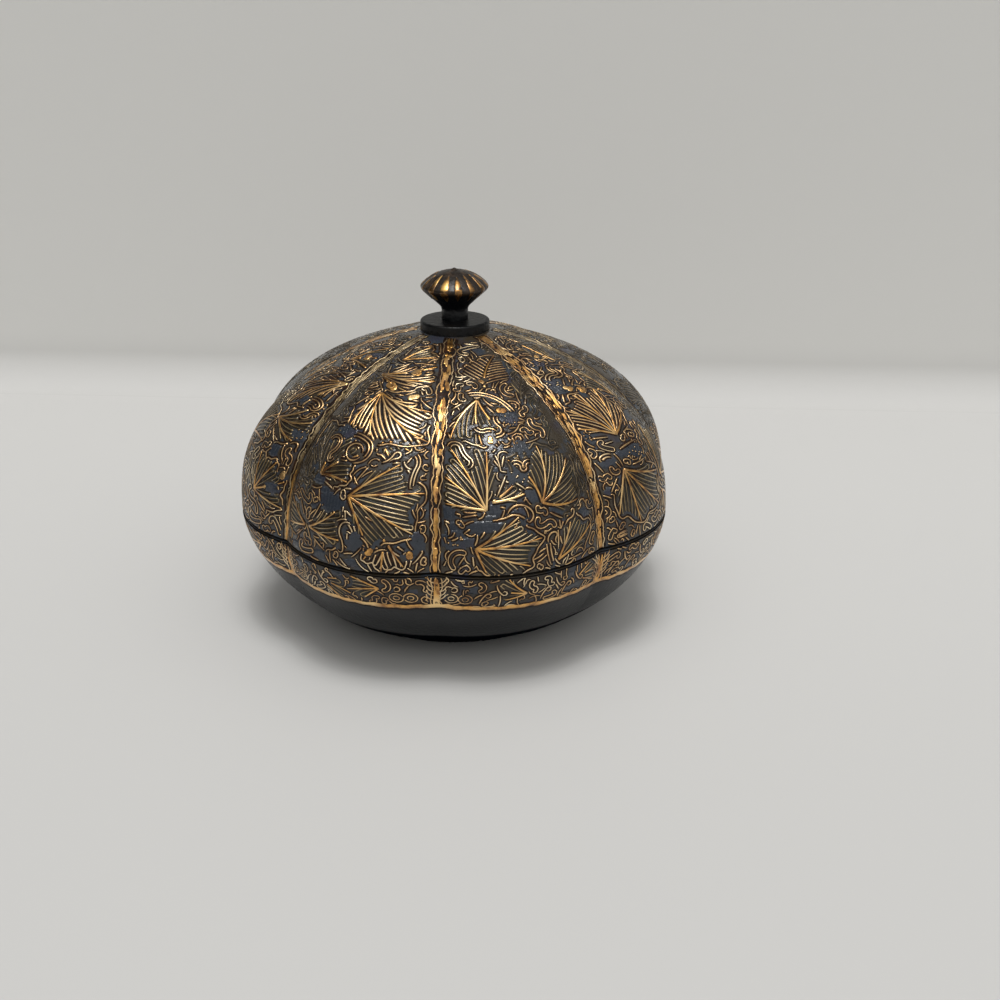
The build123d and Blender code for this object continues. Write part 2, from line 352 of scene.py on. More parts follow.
# %% Chart of a lobe
class LobeChart:
    """Maps chart millimetres (x, y) to points and directions on one body's lobes."""

    STEP_Y = 0.3                       # mm between two rows
    COLUMNS = 141                      # across the lobe
    CREST_SWEEP = (0.25, 78.3, 0.15)   # degrees above or below the seam, to measure the crest

    def __init__(self, node, low, high):
        tree = surface_tree(node)
        toward = 1 if high > low else -1
        elevations = [math.radians(e) for e in np.arange(*self.CREST_SWEEP) * toward]
        crest = [ray_hit(tree, SEAM_Z, HALF_LOBE, e)[0] for e in elevations]
        crest = np.array([list(p) for p in crest]) / MM
        radius = np.hypot(crest[:, 0], crest[:, 1])
        height = crest[:, 2] - SEAM_Z / MM
        run = np.concatenate([[0], np.cumsum(np.hypot(np.diff(radius), np.diff(height)))])
        run = (run + abs(height[0])) * toward
        order = np.argsort(run)
        self.low, self.high = sorted((low, high))
        self.high = min(self.high, run.max())
        self.rows = np.arange(self.low, self.high + self.STEP_Y, self.STEP_Y)
        self.radius = np.interp(self.rows, run[order], radius[order])
        self.elevation = np.interp(self.rows, run[order], np.array(elevations)[order])
        self.turns = np.linspace(-HALF_LOBE, HALF_LOBE, self.COLUMNS)
        self.points = np.zeros((len(self.rows), self.COLUMNS, 3))
        self.normals = np.zeros_like(self.points)
        for i, e in enumerate(self.elevation):
            for k, t in enumerate(self.turns):
                place, normal = ray_hit(tree, SEAM_Z, HALF_LOBE + t, e)
                self.points[i, k] = place
                self.normals[i, k] = normal

    def half_width(self, y):
        """Half of the lobe's width in chart millimetres at this height."""
        return np.interp(y, self.rows, self.radius) * HALF_LOBE

    def on_lobe(self, x, y, lift, lobe):
        """Points in metres, lift above the surface, on lobe number lobe (0 is right of front)."""
        x, y = np.asarray(x, float), np.asarray(y, float)
        turn = x / np.interp(y, self.rows, self.radius)
        over = np.round(turn / LOBE_ANGLE)
        turn = turn - over * LOBE_ANGLE
        u = np.clip((turn + HALF_LOBE) / LOBE_ANGLE * (self.COLUMNS - 1), 0, self.COLUMNS - 1.001)
        v = np.clip((y - self.low) / self.STEP_Y, 0, len(self.rows) - 1.001)
        k, i = u.astype(int), v.astype(int)
        fu, fv = (u - k)[:, None], (v - i)[:, None]

        def blend(table):
            near = table[i, k] * (1 - fu) + table[i, k + 1] * fu
            far = table[i + 1, k] * (1 - fu) + table[i + 1, k + 1] * fu
            return near * (1 - fv) + far * fv

        place, normal = blend(self.points), blend(self.normals)
        normal /= np.linalg.norm(normal, axis=1)[:, None]
        place = place + normal * np.asarray(lift)[:, None] * MM
        angle = (lobe + over) * LOBE_ANGLE
        c, s = np.cos(angle), np.sin(angle)
        return np.stack([
            place[:, 0] * c - place[:, 1] * s,
            place[:, 0] * s + place[:, 1] * c,
            place[:, 2],
        ], axis=1)


LID_CHART = LobeChart("lid_shell", 0.25, 90.0)
BOWL_CHART = LobeChart("bowl_shell", -0.25, -12.0)
LID_TOP = LID_CHART.high
print("lid chart", LID_CHART.points.shape, "to", round(LID_TOP, 1), "mm")

# %% [markdown]
# A brush stroke as a thin closed ribbon
#
# Paint stands less than a tenth of a millimetre proud and its edges run into the ground. A stroke
# is a line in the chart with a width at each point. Its cross-section is a low arch whose edges lie
# just under the surface, and the ribbon is closed below, so the mesh is a real thin solid.
# A fine line needs few points across. A broad, flat one needs more, to follow the lobe's curve.
# A picture on the lobes would blur close up, and a bevelled curve would be round like wire, but a
# ribbon keeps the sharp edge and the slight thickness that brushed gold has.

# %% Strokes and the meshes made of them
# Each arch lists its points as: place across, in half widths; lift in mm; share of the thickness.
SUNK = 0.06
ARCH_FINE = ((-1, -SUNK, 0), (-0.6, 0, 1), (0.6, 0, 1), (1, -SUNK, 0))
ARCH_BROAD = (
    (-1, -SUNK, 0), (-0.62, 0, 0.85), (0, 0, 1), (0.62, 0, 0.85), (1, -SUNK, 0),
    (0.4, -SUNK, 0), (-0.4, -SUNK, 0),
)
ARCH_WASH = (
    (-1, -SUNK, 0), (-0.8, 0, 1), (0, 0, 1), (0.8, 0, 1), (1, -SUNK, 0), (0, -SUNK, 0),
)
ARCH_FLAT = (
    (-1, -SUNK, 0), (-0.9, 0, 1), (-0.6, 0, 1), (-0.3, 0, 1), (0, 0, 1),
    (0.3, 0, 1), (0.6, 0, 1), (0.9, 0, 1), (1, -SUNK, 0),
    (0.6, -SUNK, 0), (0.2, -SUNK, 0), (-0.2, -SUNK, 0), (-0.6, -SUNK, 0),
)


class Paint:
    """Collects strokes and turns them into the mesh of one painted piece."""

    def __init__(self):
        self.points, self.faces, self.slots, self.count = [], [], [], 0

    def add_ribbon(self, points, ring, slot):
        """A closed ribbon from the points of its cross-sections, with ring points in each."""
        base, sections = self.count, len(points) // ring
        self.points.append(points)
        self.count += len(points)
        for i in range(sections - 1):
            a, b = base + i * ring, base + (i + 1) * ring
            for k in range(ring):
                n = (k + 1) % ring
                self.faces.append((a + k, a + n, b + n, b + k))
        last = base + (sections - 1) * ring
        self.faces.append(tuple(base + k for k in reversed(range(ring))))
        self.faces.append(tuple(last + k for k in range(ring)))
        self.slots += [slot] * ((sections - 1) * ring + 2)

    def stroke(self, chart, lobe, xy, width, proud, arch=ARCH_FINE, slot=0):
        """A stroke along chart points xy on this lobe, proud millimetres thick."""
        xy = np.asarray(xy, float)
        if len(xy) < 2:
            return
        width = np.broadcast_to(np.asarray(width, float), (len(xy),))
        along = np.gradient(xy, axis=0)
        size = np.hypot(along[:, 0], along[:, 1])
        along = along / np.maximum(size, 1e-9)[:, None]
        side = np.stack([along[:, 1], -along[:, 0]], axis=1)
        rows = []
        for across, sunk, up in arch:
            p = xy + side * (across * width / 2)[:, None]
            lift = np.full(len(xy), sunk) + up * proud
            rows.append(chart.on_lobe(p[:, 0], p[:, 1], lift, lobe))
        self.add_ribbon(np.stack(rows, axis=1).reshape(-1, 3), len(arch), slot)

    def build(self, name, body, finishes, slot_name):
        mesh = bpy.data.meshes.new(name)
        points = np.concatenate(self.points)
        mesh.from_pydata(points.tolist(), [], self.faces)
        mesh.polygons.foreach_set("material_index", self.slots)
        mesh.polygons.foreach_set("use_smooth", [True] * len(self.faces))
        for finish in finishes:
            mesh.materials.append(finish)
        mesh.update()
        piece = bpy.data.objects.new(name, mesh)
        bpy.context.scene.collection.objects.link(piece)
        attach(piece, body)
        print(name, len(points), "points", len(self.faces), "faces")
        return piece


# %% [markdown]
# Lines that a brush makes
#
# An arc makes a rib, and several arcs in a row, each turning its own way, make a scroll or a hook.
# A brush comes down gently and lifts off again, so a line has a width that tapers at its ends. Each
# line is a list of chart points a little under half a millimetre apart.

# %% Brush lines
STROKE_STEP = 0.45


def arc(x, y, heading, length, bend=0.0):
    """A line from (x, y) towards heading in degrees, turning by bend degrees along its length."""
    count = max(3, int(length / STROKE_STEP) + 1)
    turn = np.radians(heading + bend * np.linspace(0, 1, count))
    step = length / (count - 1)
    dx = np.concatenate([[0], np.cumsum(np.cos(turn[:-1]) * step)])
    dy = np.concatenate([[0], np.cumsum(np.sin(turn[:-1]) * step)])
    return np.stack([x + dx, y + dy], axis=1)


def winding(x, y, heading, turns):
    """A line whose turning changes from part to part: turns is a list of (length, degrees)."""
    parts = [np.array([[x, y]])]
    for length, degrees in turns:
        piece = arc(parts[-1][-1, 0], parts[-1][-1, 1], heading, length, degrees)
        parts.append(piece[1:])
        heading += degrees
    return np.concatenate(parts)


def tapered(count, width, head=0.5, tail=0.3, share=0.2):
    """Widths that start at head and end at tail times the full width."""
    s = np.linspace(0, 1, count)
    rise = np.clip(s / share, 0, 1)
    fall = np.clip((1 - s) / share, 0, 1)
    return width * (head + (1 - head) * rise) * (tail + (1 - tail) * fall)


# %% [markdown]
# The painter's hand on one lobe
#
# A Lobe keeps what has been painted so far in a raster of quarter-millimetre cells, as a painter
# sees which ground is still bare. The main scrolls and leaves go to chosen places, then small ones
# fill what is left, and ground that is meant to stay open is kept free. Towards one flank the gold
# is darker, as painted shade: lines there are thinner and browner, and lie on the leaf shading alone.

# %% One lobe being painted
GOLD_PROUD = 0.07                      # mm that a fine line stands above the lacquer
FLAT_PROUD = 0.06
RIB_PROUD = 0.09
UNDER_PROUD = (0.03, 0.04, 0.02)       # wash, edge and slate
LINE_MARGIN = 1.9                      # mm that lines keep from the middle of the valleys
THIN_FROM = 16.0                       # mm up the crest from which a flank's gold is darkened as painted shade, and a thin stripe's gold dulls
SHADED_FLANK_WIDTH = 0.9
LID_PLAIN = 3.0                        # mm of plain lacquer left round the knob's plate


class Lobe:
    """One lobe, the strokes on it so far, and the ground that is still bare."""

    CELL = 0.25                        # mm
    SPAN = 24.0                        # the raster's reach to each side of the crest
    BELOW, HEIGHT = 15.0, 90.0         # its reach below the seam, and its whole height

    def __init__(self, number, seed, mirror=1):
        self.number, self.mirror = number, mirror
        self.gold, self.under = Paint(), Paint()
        self.dice = random.Random(seed)
        self.chart, self.thin_side, self.shaded_share = LID_CHART, 0, 0.5
        self.low, self.high = 0.6, LID_TOP - LID_PLAIN
        self.taken = np.zeros((int(self.HEIGHT / self.CELL), int(2 * self.SPAN / self.CELL)), bool)

    def use_bowl(self):
        """Moves the brush to the bowl's band, between its border line and the seam."""
        self.chart, self.low, self.high = BOWL_CHART, -8.6, -0.6

    def cell(self, xy):
        """Rows and columns of the raster's cells under these points."""
        i = ((xy[:, 1] + self.BELOW) / self.CELL).astype(int).clip(0, self.taken.shape[0] - 1)
        k = ((xy[:, 0] + self.SPAN) / self.CELL).astype(int).clip(0, self.taken.shape[1] - 1)
        return i, k

    def mark(self, xy, reach):
        """Notes the ground within reach of these points as painted."""
        i, k = self.cell(np.asarray(xy))
        n = int(round(reach / self.CELL))
        for di in range(-n, n + 1):
            for dk in range(-n, n + 1):
                if di * di + dk * dk <= n * n + 0.5:
                    rows = (i + di).clip(0, self.taken.shape[0] - 1)
                    columns = (k + dk).clip(0, self.taken.shape[1] - 1)
                    self.taken[rows, columns] = True

    def inside(self, xy, margin):
        """Which points lie on the lobe, this far from its valleys."""
        edge = self.chart.half_width(xy[:, 1]) - margin
        return (np.abs(xy[:, 0]) < edge) & (xy[:, 1] > self.low) & (xy[:, 1] < self.high)

    def bare(self, xy, margin):
        """Which points of a line fall on unpainted ground inside the lobe."""
        i, k = self.cell(xy)
        return ~self.taken[i, k] & self.inside(xy, margin)

    def bare_spots(self, margin, most):
        """Centres of unpainted cells in random order, at most this many."""
        i, k = np.nonzero(~self.taken)
        x = (k + 0.5) * self.CELL - self.SPAN
        y = (i + 0.5) * self.CELL - self.BELOW
        spots = np.stack([x, y], axis=1)
        spots = spots[self.inside(spots, margin)]
        order = list(range(len(spots)))
        self.dice.shuffle(order)
        return spots[order[:most]]

    def runs(self, keep):
        """The stretches of a line where keep is true, two points or more each."""
        found, start = [], None
        for i, good in enumerate(list(keep) + [False]):
            if good and start is None:
                start = i
            if not good and start is not None:
                if i - start >= 2:
                    found.append(slice(start, i))
                start = None
        return found

    def flip(self, xy):
        """The same line on the painted lobe, which may be a mirror image of the plan."""
        return np.stack([xy[:, 0] * self.mirror, xy[:, 1]], axis=1)

    def line(self, xy, width, kind, edge, avoid=True, spread=0.0, flat=False):
        """A gold line with umber edge mm wide on each side, inside the lobe and off painted ground."""
        xy = np.asarray(xy, float)
        width = np.broadcast_to(np.asarray(width, float), (len(xy),))
        x, y = xy[len(xy) // 2]
        # painted shade: on one flank, above THIN_FROM, lines take the darker gold and are drawn
        # thinner
        if y > THIN_FROM and x * self.thin_side > self.shaded_share * self.chart.half_width(y):
            kind, width, flat = SHADED_FLANK, width * SHADED_FLANK_WIDTH, False
        keep = self.inside(self.flip(xy), LINE_MARGIN)
        if avoid:
            i, k = self.cell(xy)
            keep &= ~self.taken[i, k]
        arch, proud = (ARCH_BROAD, RIB_PROUD) if kind == RIB else (ARCH_FINE, GOLD_PROUD)
        if flat:
            arch, proud = ARCH_FLAT, FLAT_PROUD
        wash = WASH if kind in (VEIN, SHADED_FLANK) else EDGE
        for part in self.runs(keep):
            path = self.flip(xy[part])
            self.gold.stroke(self.chart, self.number, path, width[part], proud, arch, kind)
            if edge:
                self.under.stroke(
                    self.chart, self.number, path, width[part] + 2 * edge, UNDER_PROUD[wash],
                    ARCH_WASH, wash,
                )
        if spread:
            self.mark(xy, spread)


# %% [markdown]
# A chinar leaf
#
# The plane-tree leaf of this style fans out from one point on a few thick gold ribs. Between two
# ribs the brush draws fine veins a millimetre apart, all parallel to the line halfway between the
# ribs, so they meet each rib in a herringbone. Many neighbouring veins are joined by a small bend
# at the leaf's edge. Each vein has its own umber, which together shade the leaf. At the end the
# whole leaf is swept a little round its base, so no rib or vein stays quite straight.

# %% Veins between two ribs
VEIN_GAP = 0.95                        # mm between two veins
VEIN_WIDTH = (0.26, 0.38)
VEIN_START, MIDDLE_START = 0.4, 1.6    # mm from the rib, and from the base for the middle vein
VEIN_BOW = 0.10                        # mm that a vein bends outwards halfway
SHORTEST_VEIN = 1.0
RAGGED = (-0.5, 0.2)                   # mm that a vein falls short of the leaf's edge or passes it
NOTCH = 0.16                           # share by which the edge draws in between two ribs
JOINED_SHARE = 0.5                     # of the pairs that could be joined


def vein_ends(lobe, half, low_length, high_length, starts, gap):
    """Where each vein begins and ends, by its number to the right (-) or left (+) of the middle."""
    slope = math.sin(math.radians(half))
    most = max(low_length, high_length)
    count = int(most * slope / gap)
    ends = {}
    for n in range(-count, count + 1):
        side = -1 if n < 0 else 1
        if (n and side not in starts) or (n == 0 and len(starts) < 2):
            continue
        offset = n * gap
        begin = abs(offset) / math.tan(math.radians(half)) + (VEIN_START if n else MIDDLE_START)
        share = min(max((offset / max(most * slope, 0.1) + 1) / 2, 0), 1)
        length = low_length + (high_length - low_length) * share
        edge = length * (1 - NOTCH * math.sin(math.pi * share) ** 2)
        end = math.sqrt(max(edge ** 2 - offset ** 2, 0)) + lobe.dice.uniform(*RAGGED)
        if end - begin > SHORTEST_VEIN:
            ends[n] = (begin, end)
    return ends


def paint_sector(lobe, x, y, low, high, low_length, high_length, starts, gap, bold):
    """Veins between two headings; starts says on which side, -1 or 1, a rib carries them."""
    dice = lobe.dice
    half = (high - low) / 2
    middle = math.radians(low + half)
    way = np.array([math.cos(middle), math.sin(middle)])
    across = np.array([-way[1], way[0]])
    ends = vein_ends(lobe, half, low_length, high_length, starts, gap)
    base = np.array([x, y])
    made = []
    for n, (begin, end) in sorted(ends.items()):
        joined = (n + 1) in ends and (n % 2 == 0) and dice.random() < JOINED_SHARE
        if joined:
            end = min(end, ends[n + 1][1])
            ends[n + 1] = (ends[n + 1][0], end)
        line = np.linspace(begin, end, max(4, int((end - begin) / 0.6) + 1))
        bow = VEIN_BOW * np.sin(np.linspace(0, math.pi, len(line))) * (1 if n > 0 else -1)
        path = base + np.outer(line, way) + np.outer(n * gap + bow, across)
        if joined:
            turn = np.linspace(-math.pi / 2, math.pi / 2, 7)[1:]
            bend = (
                base + np.outer(end + 0.5 * gap * np.cos(turn), way)
                + np.outer((n + 0.5) * gap + 0.5 * gap * np.sin(turn), across)
            )
            path = np.concatenate([path, bend])
        wide = dice.uniform(*VEIN_WIDTH) * bold
        kind = VEIN if bold < 1.2 else LINE
        made.append((path, tapered(len(path), wide, 0.6, 0.75, 0.3), kind))
    return made


# %% Sweep and outline of a leaf
MOST_SWEEP = 2.0                       # degrees per millimetre from the base
OUTSIDE = 0.5                          # mm from the finger tips to the outline
BETWEEN_FINGERS = 1.3                  # mm that the outline draws in there
WAVER = 0.22
SIDE_SHARE = 0.62                      # the outermost veins' length, as a share of their rib's


def swept(path, x, y, degrees_per_mm):
    """The path turned about (x, y), the further out the more, so that straight lines curve."""
    away = path - [x, y]
    turn = np.radians(degrees_per_mm) * np.hypot(away[:, 0], away[:, 1])
    return np.stack([
        x + away[:, 0] * np.cos(turn) - away[:, 1] * np.sin(turn),
        y + away[:, 0] * np.sin(turn) + away[:, 1] * np.cos(turn),
    ], axis=1)


def leaf_outline(lobe, x, y, spines, outer):
    """A wavering line round the leaf, a little outside its finger tips and back to its base."""
    dice = lobe.dice
    first, last = spines[0], spines[-1]
    headings = [first[0] - outer] + [h for h, _ in spines] + [last[0] + outer]
    lengths = [SIDE_SHARE * first[1]] + [r for _, r in spines] + [SIDE_SHARE * last[1]]
    turn = np.arange(headings[0] - 8, headings[-1] + 8, 2.0)
    reach = np.interp(turn, headings, lengths) + OUTSIDE
    for (low, _), (high, _) in zip(spines, spines[1:]):
        between = np.clip((turn - low) / (high - low), 0, 1)
        reach -= BETWEEN_FINGERS * np.sin(np.pi * between) ** 2
    reach += WAVER * np.sin(np.radians(turn) * dice.uniform(22, 30) + dice.uniform(0, 6))
    along, up = reach * np.cos(np.radians(turn)), reach * np.sin(np.radians(turn))
    rim = np.stack([x + along, y + up], axis=1)
    stem = math.radians(spines[len(spines) // 2][0])
    back = np.array([x, y]) - 0.8 * np.array([math.cos(stem), math.sin(stem)])
    share = np.linspace(0.08, 0.92, 9)[:, None]
    sides = [back + (rim[0] - back) * share, rim[-1] + (back - rim[-1]) * share]
    return [rim, sides[0][3:], sides[1][:-3]]


# %% A whole leaf
LEAF_EDGE = 0.46                       # mm of umber beside each stroke of a leaf
LEAF_SPREAD = 0.5                      # mm round a leaf's strokes that count as painted


def paint_leaf(lobe, x, y, spines, gap=VEIN_GAP, rib=0.58, outer=26.0, bold=1.0, outline=True):
    """spines is a list of (heading in degrees, length in mm) that fan out from (x, y)."""
    dice = lobe.dice
    spines = sorted(spines)
    first, last = spines[0], spines[-1]
    strokes = paint_sector(
        lobe, x, y, first[0] - 2 * outer, first[0], first[1] * 0.35, first[1] * 0.95, (1,), gap, bold,
    )
    for (low, low_length), (high, high_length) in zip(spines, spines[1:]):
        strokes += paint_sector(lobe, x, y, low, high, low_length, high_length, (-1, 1), gap, bold)
    strokes += paint_sector(
        lobe, x, y, last[0], last[0] + 2 * outer, last[1] * 0.95, last[1] * 0.35, (-1,), gap, bold,
    )
    for heading, length in spines:
        spine = arc(x, y, heading, length, dice.uniform(-4, 4))
        strokes.append((spine, tapered(len(spine), rib, 1.2, 0.55, 0.5), RIB))
    if outline:
        for path in leaf_outline(lobe, x, y, spines, outer):
            strokes.append((path, tapered(len(path), 0.38, 0.5, 0.5, 0.1), LINE))
    sweep = dice.uniform(-MOST_SWEEP, MOST_SWEEP)
    strokes = [(swept(path, x, y, sweep), width, kind) for path, width, kind in strokes]
    for path, width, kind in strokes:
        lobe.line(path, width, kind, LEAF_EDGE)
    for path, width, kind in strokes:
        lobe.mark(path, LEAF_SPREAD)


# %% [markdown]
# Scrolls, rings and dots
#
# Beside the leaves the brush wanders: snake-like lines with hooked ends, many of them doubled,
# small rings, solid touches of gold where the brush was pressed, and groups of pale dots on the
# open slate ground.

# %% Scrolls, dots and rings
SCROLL_SPREAD = 0.6


def side_of(path):
    """The direction to the left of each point of a path."""
    way = np.gradient(path, axis=0)
    way /= np.maximum(np.hypot(way[:, 0], way[:, 1]), 1e-9)[:, None]
    return np.stack([-way[:, 1], way[:, 0]], axis=1)


def paint_scroll(lobe, x, y, heading, turns, width, double=0.0):
    """A winding line, with a second one double mm to its left."""
    path = winding(x, y, heading, turns)
    lobe.line(path, tapered(len(path), width), LINE, 0.5)
    if double:
        beside = path + side_of(path) * double
        lobe.line(beside, tapered(len(path), width), LINE, 0.4)
        lobe.mark(beside, SCROLL_SPREAD)
    lobe.mark(path, SCROLL_SPREAD)


BROAD_TOUCH = 0.8          # mm from which a touch of gold is laid flat and full


def paint_dot(lobe, x, y, size):
    """A touch of gold: a short fat stroke, round at both ends."""
    path = arc(x - size / 2, y, lobe.dice.uniform(-25, 25), size)
    if len(path) < 5:
        path = np.stack([np.linspace(path[0, i], path[-1, i], 5) for i in (0, 1)], axis=1)
    s = np.linspace(-0.98, 0.98, len(path))
    width = size * np.sqrt(1 - s * s) + 0.05
    broad = size > BROAD_TOUCH
    lobe.line(path, width, RIB if broad else LINE, 0.3, avoid=False, spread=0.4, flat=broad)


def paint_dots(lobe, x, y, reach, count):
    """Small dots strewn within reach of a place."""
    for _ in range(count):
        angle = lobe.dice.uniform(0, 2 * math.pi)
        away = reach * math.sqrt(lobe.dice.random())
        size = lobe.dice.uniform(0.3, 0.45)
        paint_dot(lobe, x + away * math.cos(angle), y + away * math.sin(angle), size)


def paint_blob(lobe, x, y, size):
    """A solid patch of gold with a ragged edge, where the brush was pressed."""
    for _ in range(4):
        dx, dy = (lobe.dice.uniform(-0.3, 0.3) * size for _ in range(2))
        paint_dot(lobe, x + dx, y + dy, size * lobe.dice.uniform(0.5, 0.8))


def paint_ring(lobe, x, y, size):
    """An open ring with a smaller one in it."""
    for share in (1.0, 0.45):
        turn = np.linspace(0, 1.85 * math.pi, max(9, int(12 * share))) + lobe.dice.uniform(0, 6)
        reach = size * share
        ring = np.stack([x + reach * np.cos(turn), y + reach * np.sin(turn) * 0.85], axis=1)
        lobe.line(ring, 0.34, LINE, 0.22, avoid=False, spread=0.5)


# %% [markdown]
# Open ground
#
# A painter who fills everything ends up with an even grey. So some ovals are kept free before the
# filling starts, and on the lower half of the lid they are laid with slate, brushed upright in
# strokes that touch. Higher up, the bare ground stays brown.

# %% Ground kept open and laid with slate
SLATE_PITCH, SLATE_WIDTH = 0.9, 1.15   # mm between two strokes, and the width of one
SLATE_MARGIN = 1.7                     # mm kept from the valleys
SLATE_BELOW = 24.0                     # mm up the crest


def keep_open(lobe, x, y, wide, high):
    """Leaves an oval of bare ground, given by its half width and half height."""
    grid = np.mgrid[-1:1:25j, -1:1:25j].reshape(2, -1).T
    grid = grid[np.hypot(grid[:, 0], grid[:, 1]) <= 1]
    lobe.mark(grid * [wide, high] + [x, y], 0.3)


def lay_slate(lobe, x, y, wide, high):
    """An oval of slate blue."""
    for across in np.arange(-wide, wide + 0.1, SLATE_PITCH):
        reach = high * math.sqrt(1 - (across / (wide + 0.6)) ** 2)
        count = max(4, int(2 * reach / STROKE_STEP))
        up = y + np.linspace(-reach, reach, count)
        path = np.stack([np.full(count, x + across), up], axis=1)
        for part in lobe.runs(lobe.inside(lobe.flip(path), SLATE_MARGIN)):
            lobe.under.stroke(
                lobe.chart, lobe.number, lobe.flip(path[part]), SLATE_WIDTH, UNDER_PROUD[SLATE],
                ARCH_FLAT, SLATE,
            )


def keep_some_open(lobe, count, smallest, largest):
    """Leaves count ovals open on ground that is still bare."""
    for x, y in lobe.bare_spots(2.2, count):
        wide, high = (lobe.dice.uniform(smallest, largest) for _ in range(2))
        keep_open(lobe, x, y, wide, high)
        if y < SLATE_BELOW:
            lay_slate(lobe, x * lobe.mirror, y, wide, high)


# %% [markdown]
# Filling what is left
#
# The last of the ground is filled by eye: closed snakes and buds where one fits whole, then hooks
# that start at a painted line and curl until they meet another. The script does what the painter
# does. It picks a bare spot, tries a shape in a few directions, and paints it where it fits.

# %% Loops that fit on bare ground
LOOP_MARGIN = 1.7                      # mm kept from the valleys, plus the loop's half width
FIT_MARGIN = 1.6
BARE_SHARE = 0.985                     # of the outline that has to fall on bare ground


def loop_round(path, half):
    """The outline of a band of this half width along a path, round at both ends."""
    side = side_of(path)
    way = np.stack([side[:, 1], -side[:, 0]], axis=1)
    turn = np.linspace(0, math.pi, 6)[1:-1, None]
    far = path[-1] + half * (side[-1] * np.cos(turn) + way[-1] * np.sin(turn))
    near = path[0] - half * (side[0] * np.cos(turn) + way[0] * np.sin(turn))
    left, right = path + side * half, path - side * half
    return np.concatenate([left, far, right[::-1], near, left[:2]])


def fill_with_loops(lobe, shortest, longest, half, most):
    """Closed snakes and buds of this half width, tried at up to so many bare spots."""
    dice = lobe.dice
    for x, y in lobe.bare_spots(LOOP_MARGIN + half, most):
        if not lobe.bare(np.array([[x, y]]), LOOP_MARGIN + half)[0]:
            continue
        size, sign = dice.uniform(shortest, longest), dice.choice((-1, 1))
        turns = dice.choice((
            [(size * 0.5, 90 * sign), (size * 0.5, -130 * sign)],
            [(size, 150 * sign)],
            [(size * 0.35, 100 * sign), (size * 0.25, -30 * sign), (size * 0.4, -150 * sign)],
            [(size * 0.55, 20 * sign), (size * 0.45, 170 * sign)],
        ))
        start = dice.uniform(0, 360)
        for twist in (0, 90, 180, 270):
            path = winding(x, y, start + twist, turns)
            outline = loop_round(path, half)
            if lobe.bare(outline, FIT_MARGIN).mean() > BARE_SHARE:
                lobe.line(outline, dice.uniform(0.27, 0.38), LINE, 0.36)
                lobe.mark(outline, 0.6)
                lobe.mark(path, 0.5)
                break


# %% Hooks that start at a painted line
HOOK_MARGIN = 2.0
HOOK_BACK = 0.5                        # mm from the bare spot back to the painted line


def fill_with_hooks(lobe, shortest, longest, most):
    """Hooks and curls that start at a painted line and run until they meet another."""
    dice = lobe.dice
    for x, y in lobe.bare_spots(HOOK_MARGIN, most):
        if not lobe.bare(np.array([[x, y]]), HOOK_MARGIN)[0]:
            continue
        size, sign = dice.uniform(shortest, longest), dice.choice((-1, 1))
        turns = dice.choice((
            [(size * 0.6, 40 * sign), (size * 0.6, -190 * sign), (size * 0.4, -160 * sign)],
            [(size * 0.5, 130 * sign), (size * 0.7, -190 * sign)],
            [(size * 0.8, 20 * sign), (size * 0.6, 220 * sign)],
            [(size * 1.1, 60 * sign), (size * 0.5, 190 * sign)],
        ))
        best, longest_run = None, 3
        start = dice.uniform(0, 360)
        for twist in (0, 60, 120, 180, 240, 300):
            heading = math.radians(start + twist)
            back = HOOK_BACK * np.array([math.cos(heading), math.sin(heading)])
            if lobe.bare(np.array([[x, y]]) - back, FIT_MARGIN)[0]:
                continue
            path = winding(x, y, start + twist, turns)
            blocked = np.nonzero(~lobe.bare(path, FIT_MARGIN))[0]
            run = blocked[0] if len(blocked) else len(path)
            if run > longest_run:
                best, longest_run = np.concatenate([[path[0] - back], path[:run]]), run
        if best is not None:
            width = tapered(len(best), dice.uniform(0.28, 0.4))
            lobe.line(best, width, LINE, 0.4, avoid=False)
            lobe.mark(best, 0.5)


# %% [markdown]
# Gilt stripes in the valleys
#
# A broad stripe runs down each valley from the knob's plate to the seam and on over the bowl's
# band. It is brushed flat in short overlapping strokes, so its sides are ragged and dark specks
# show through, and a thin wandering line follows each side. Some valleys carry more gold than
# others, and a few have thin gold that is worn away towards the top.

# %% Valley stripe
STRIPE_SHARES = (0, 0.25, 0.6, 1)      # of the way up, where the stripe's widths are given
STRIPE_EDGE = 1.1                      # mm of umber beside the stripe
POOR_WIDTH = 0.7                       # share of the width where the gold is thin
DAB_LENGTH = (4, 18)                   # chart points that one brush stroke covers
DAB_WIDTH = (0.45, 0.85)
SIDE_LINE = 0.34


def wander(dice, count, size, smooth):
    """A smooth random line of count values within about size."""
    rough = [dice.uniform(-size, size) for _ in range(count + smooth)]
    return np.convolve(rough, np.ones(smooth) / math.sqrt(smooth), "same")[:count]


